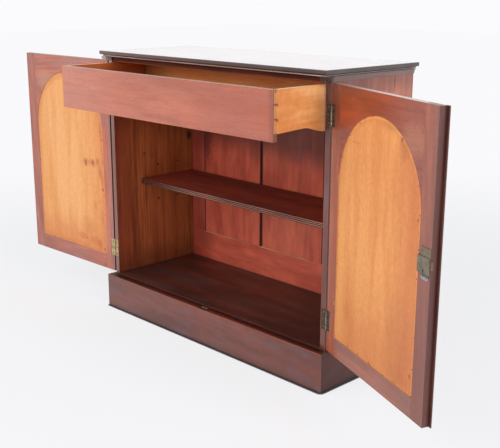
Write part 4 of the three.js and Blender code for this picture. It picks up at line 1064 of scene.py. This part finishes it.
def plateRing(solid, outer, inner, across, rise, normal, thick):
    # a flat plate with a hole: both outlines are lists of points in mm, one point of each beside the other
    rings = []
    for outline, depth in ((outer, 0), (outer, thick), (inner, thick), (inner, 0)):
        rings.append([solid.verts.new(across * mm(x) + rise * mm(y) + normal * mm(depth)) for x, y in outline])
    for ring, other in zip(rings, rings[1:] + rings[:1]):
        wall(solid, ring, other)


def keyholeOutline(radius, halfWidth, foot):
    # a round head over a slot that widens downwards, anticlockwise from the slot's right shoulder
    shoulder = math.asin(halfWidth / radius)
    arc = [shoulder + (math.tau - 2 * shoulder) * i / 16 - math.pi / 2 for i in range(17)]
    return [(radius * math.cos(a), radius * math.sin(a)) for a in arc] + [(-halfWidth * 1.25, -foot),
                                                                          (halfWidth * 1.25, -foot)]


# radius, half the slot's width, foot: of the plate, of the hole in it, and of the dark hole behind
escutcheonLook = {"fromHinge": 502.7, "height": 537.0, "outside": 20.0, "proud": 0.7, "plate": (5.6, 3.4, 14),
                  "hole": (3.4, 1.7, 12), "dark": (3.6, 1.9, 12.2), "darkDepths": (0.1, 0.3)}
outside, toLock = doorOut["right"], doorAcross["right"]
place = doorPoint("right", escutcheonLook["fromHinge"], escutcheonLook["height"], escutcheonLook["outside"])
solid = bmesh.new()
plateRing(solid, keyholeOutline(*escutcheonLook["plate"]), keyholeOutline(*escutcheonLook["hole"]), toLock, up,
          outside, escutcheonLook["proud"])
addBrass("escutcheon", solid, "rubbed brass", place, "right_door")
solid = bmesh.new()
proud, thick = escutcheonLook["darkDepths"]
hole = [solid.verts.new(toLock * mm(x) + up * mm(y) + outside * mm(proud))
        for x, y in keyholeOutline(*escutcheonLook["dark"])]
back = [solid.verts.new(vertex.co - outside * mm(thick)) for vertex in hole]
solid.faces.new(hole)
solid.faces.new(back[::-1])
wall(solid, back, hole)
addBrass("keyhole", solid, "old iron", place, "right_door")

# the upper keep, let into the top's fillet round the hole for the bolt
keepLook = {"half": (20, 6), "hole": 3.6, "thick": 0.6, "place": (-6.5, -187.5, 951), "sides": 24}
half, count = keepLook["half"], keepLook["sides"]
circle = [(math.cos(math.tau * i / count), math.sin(math.tau * i / count)) for i in range(count)]
reach = [min(half[0] / max(abs(x), 0.001), half[1] / max(abs(y), 0.001)) for x, y in circle]
solid = bmesh.new()
plateRing(solid, [(x * r, y * r) for (x, y), r in zip(circle, reach)],
          [(x * keepLook["hole"], y * keepLook["hole"]) for x, y in circle], along, -outwards, -up, keepLook["thick"])
addBrass("upper_bolt_keep", solid, "aged brass", [mm(v) for v in keepLook["place"]], "carcass")
print("brass and iron made")

makeCamera()
makeStage()

bpy.context.view_layer.update()
print("scene ready")
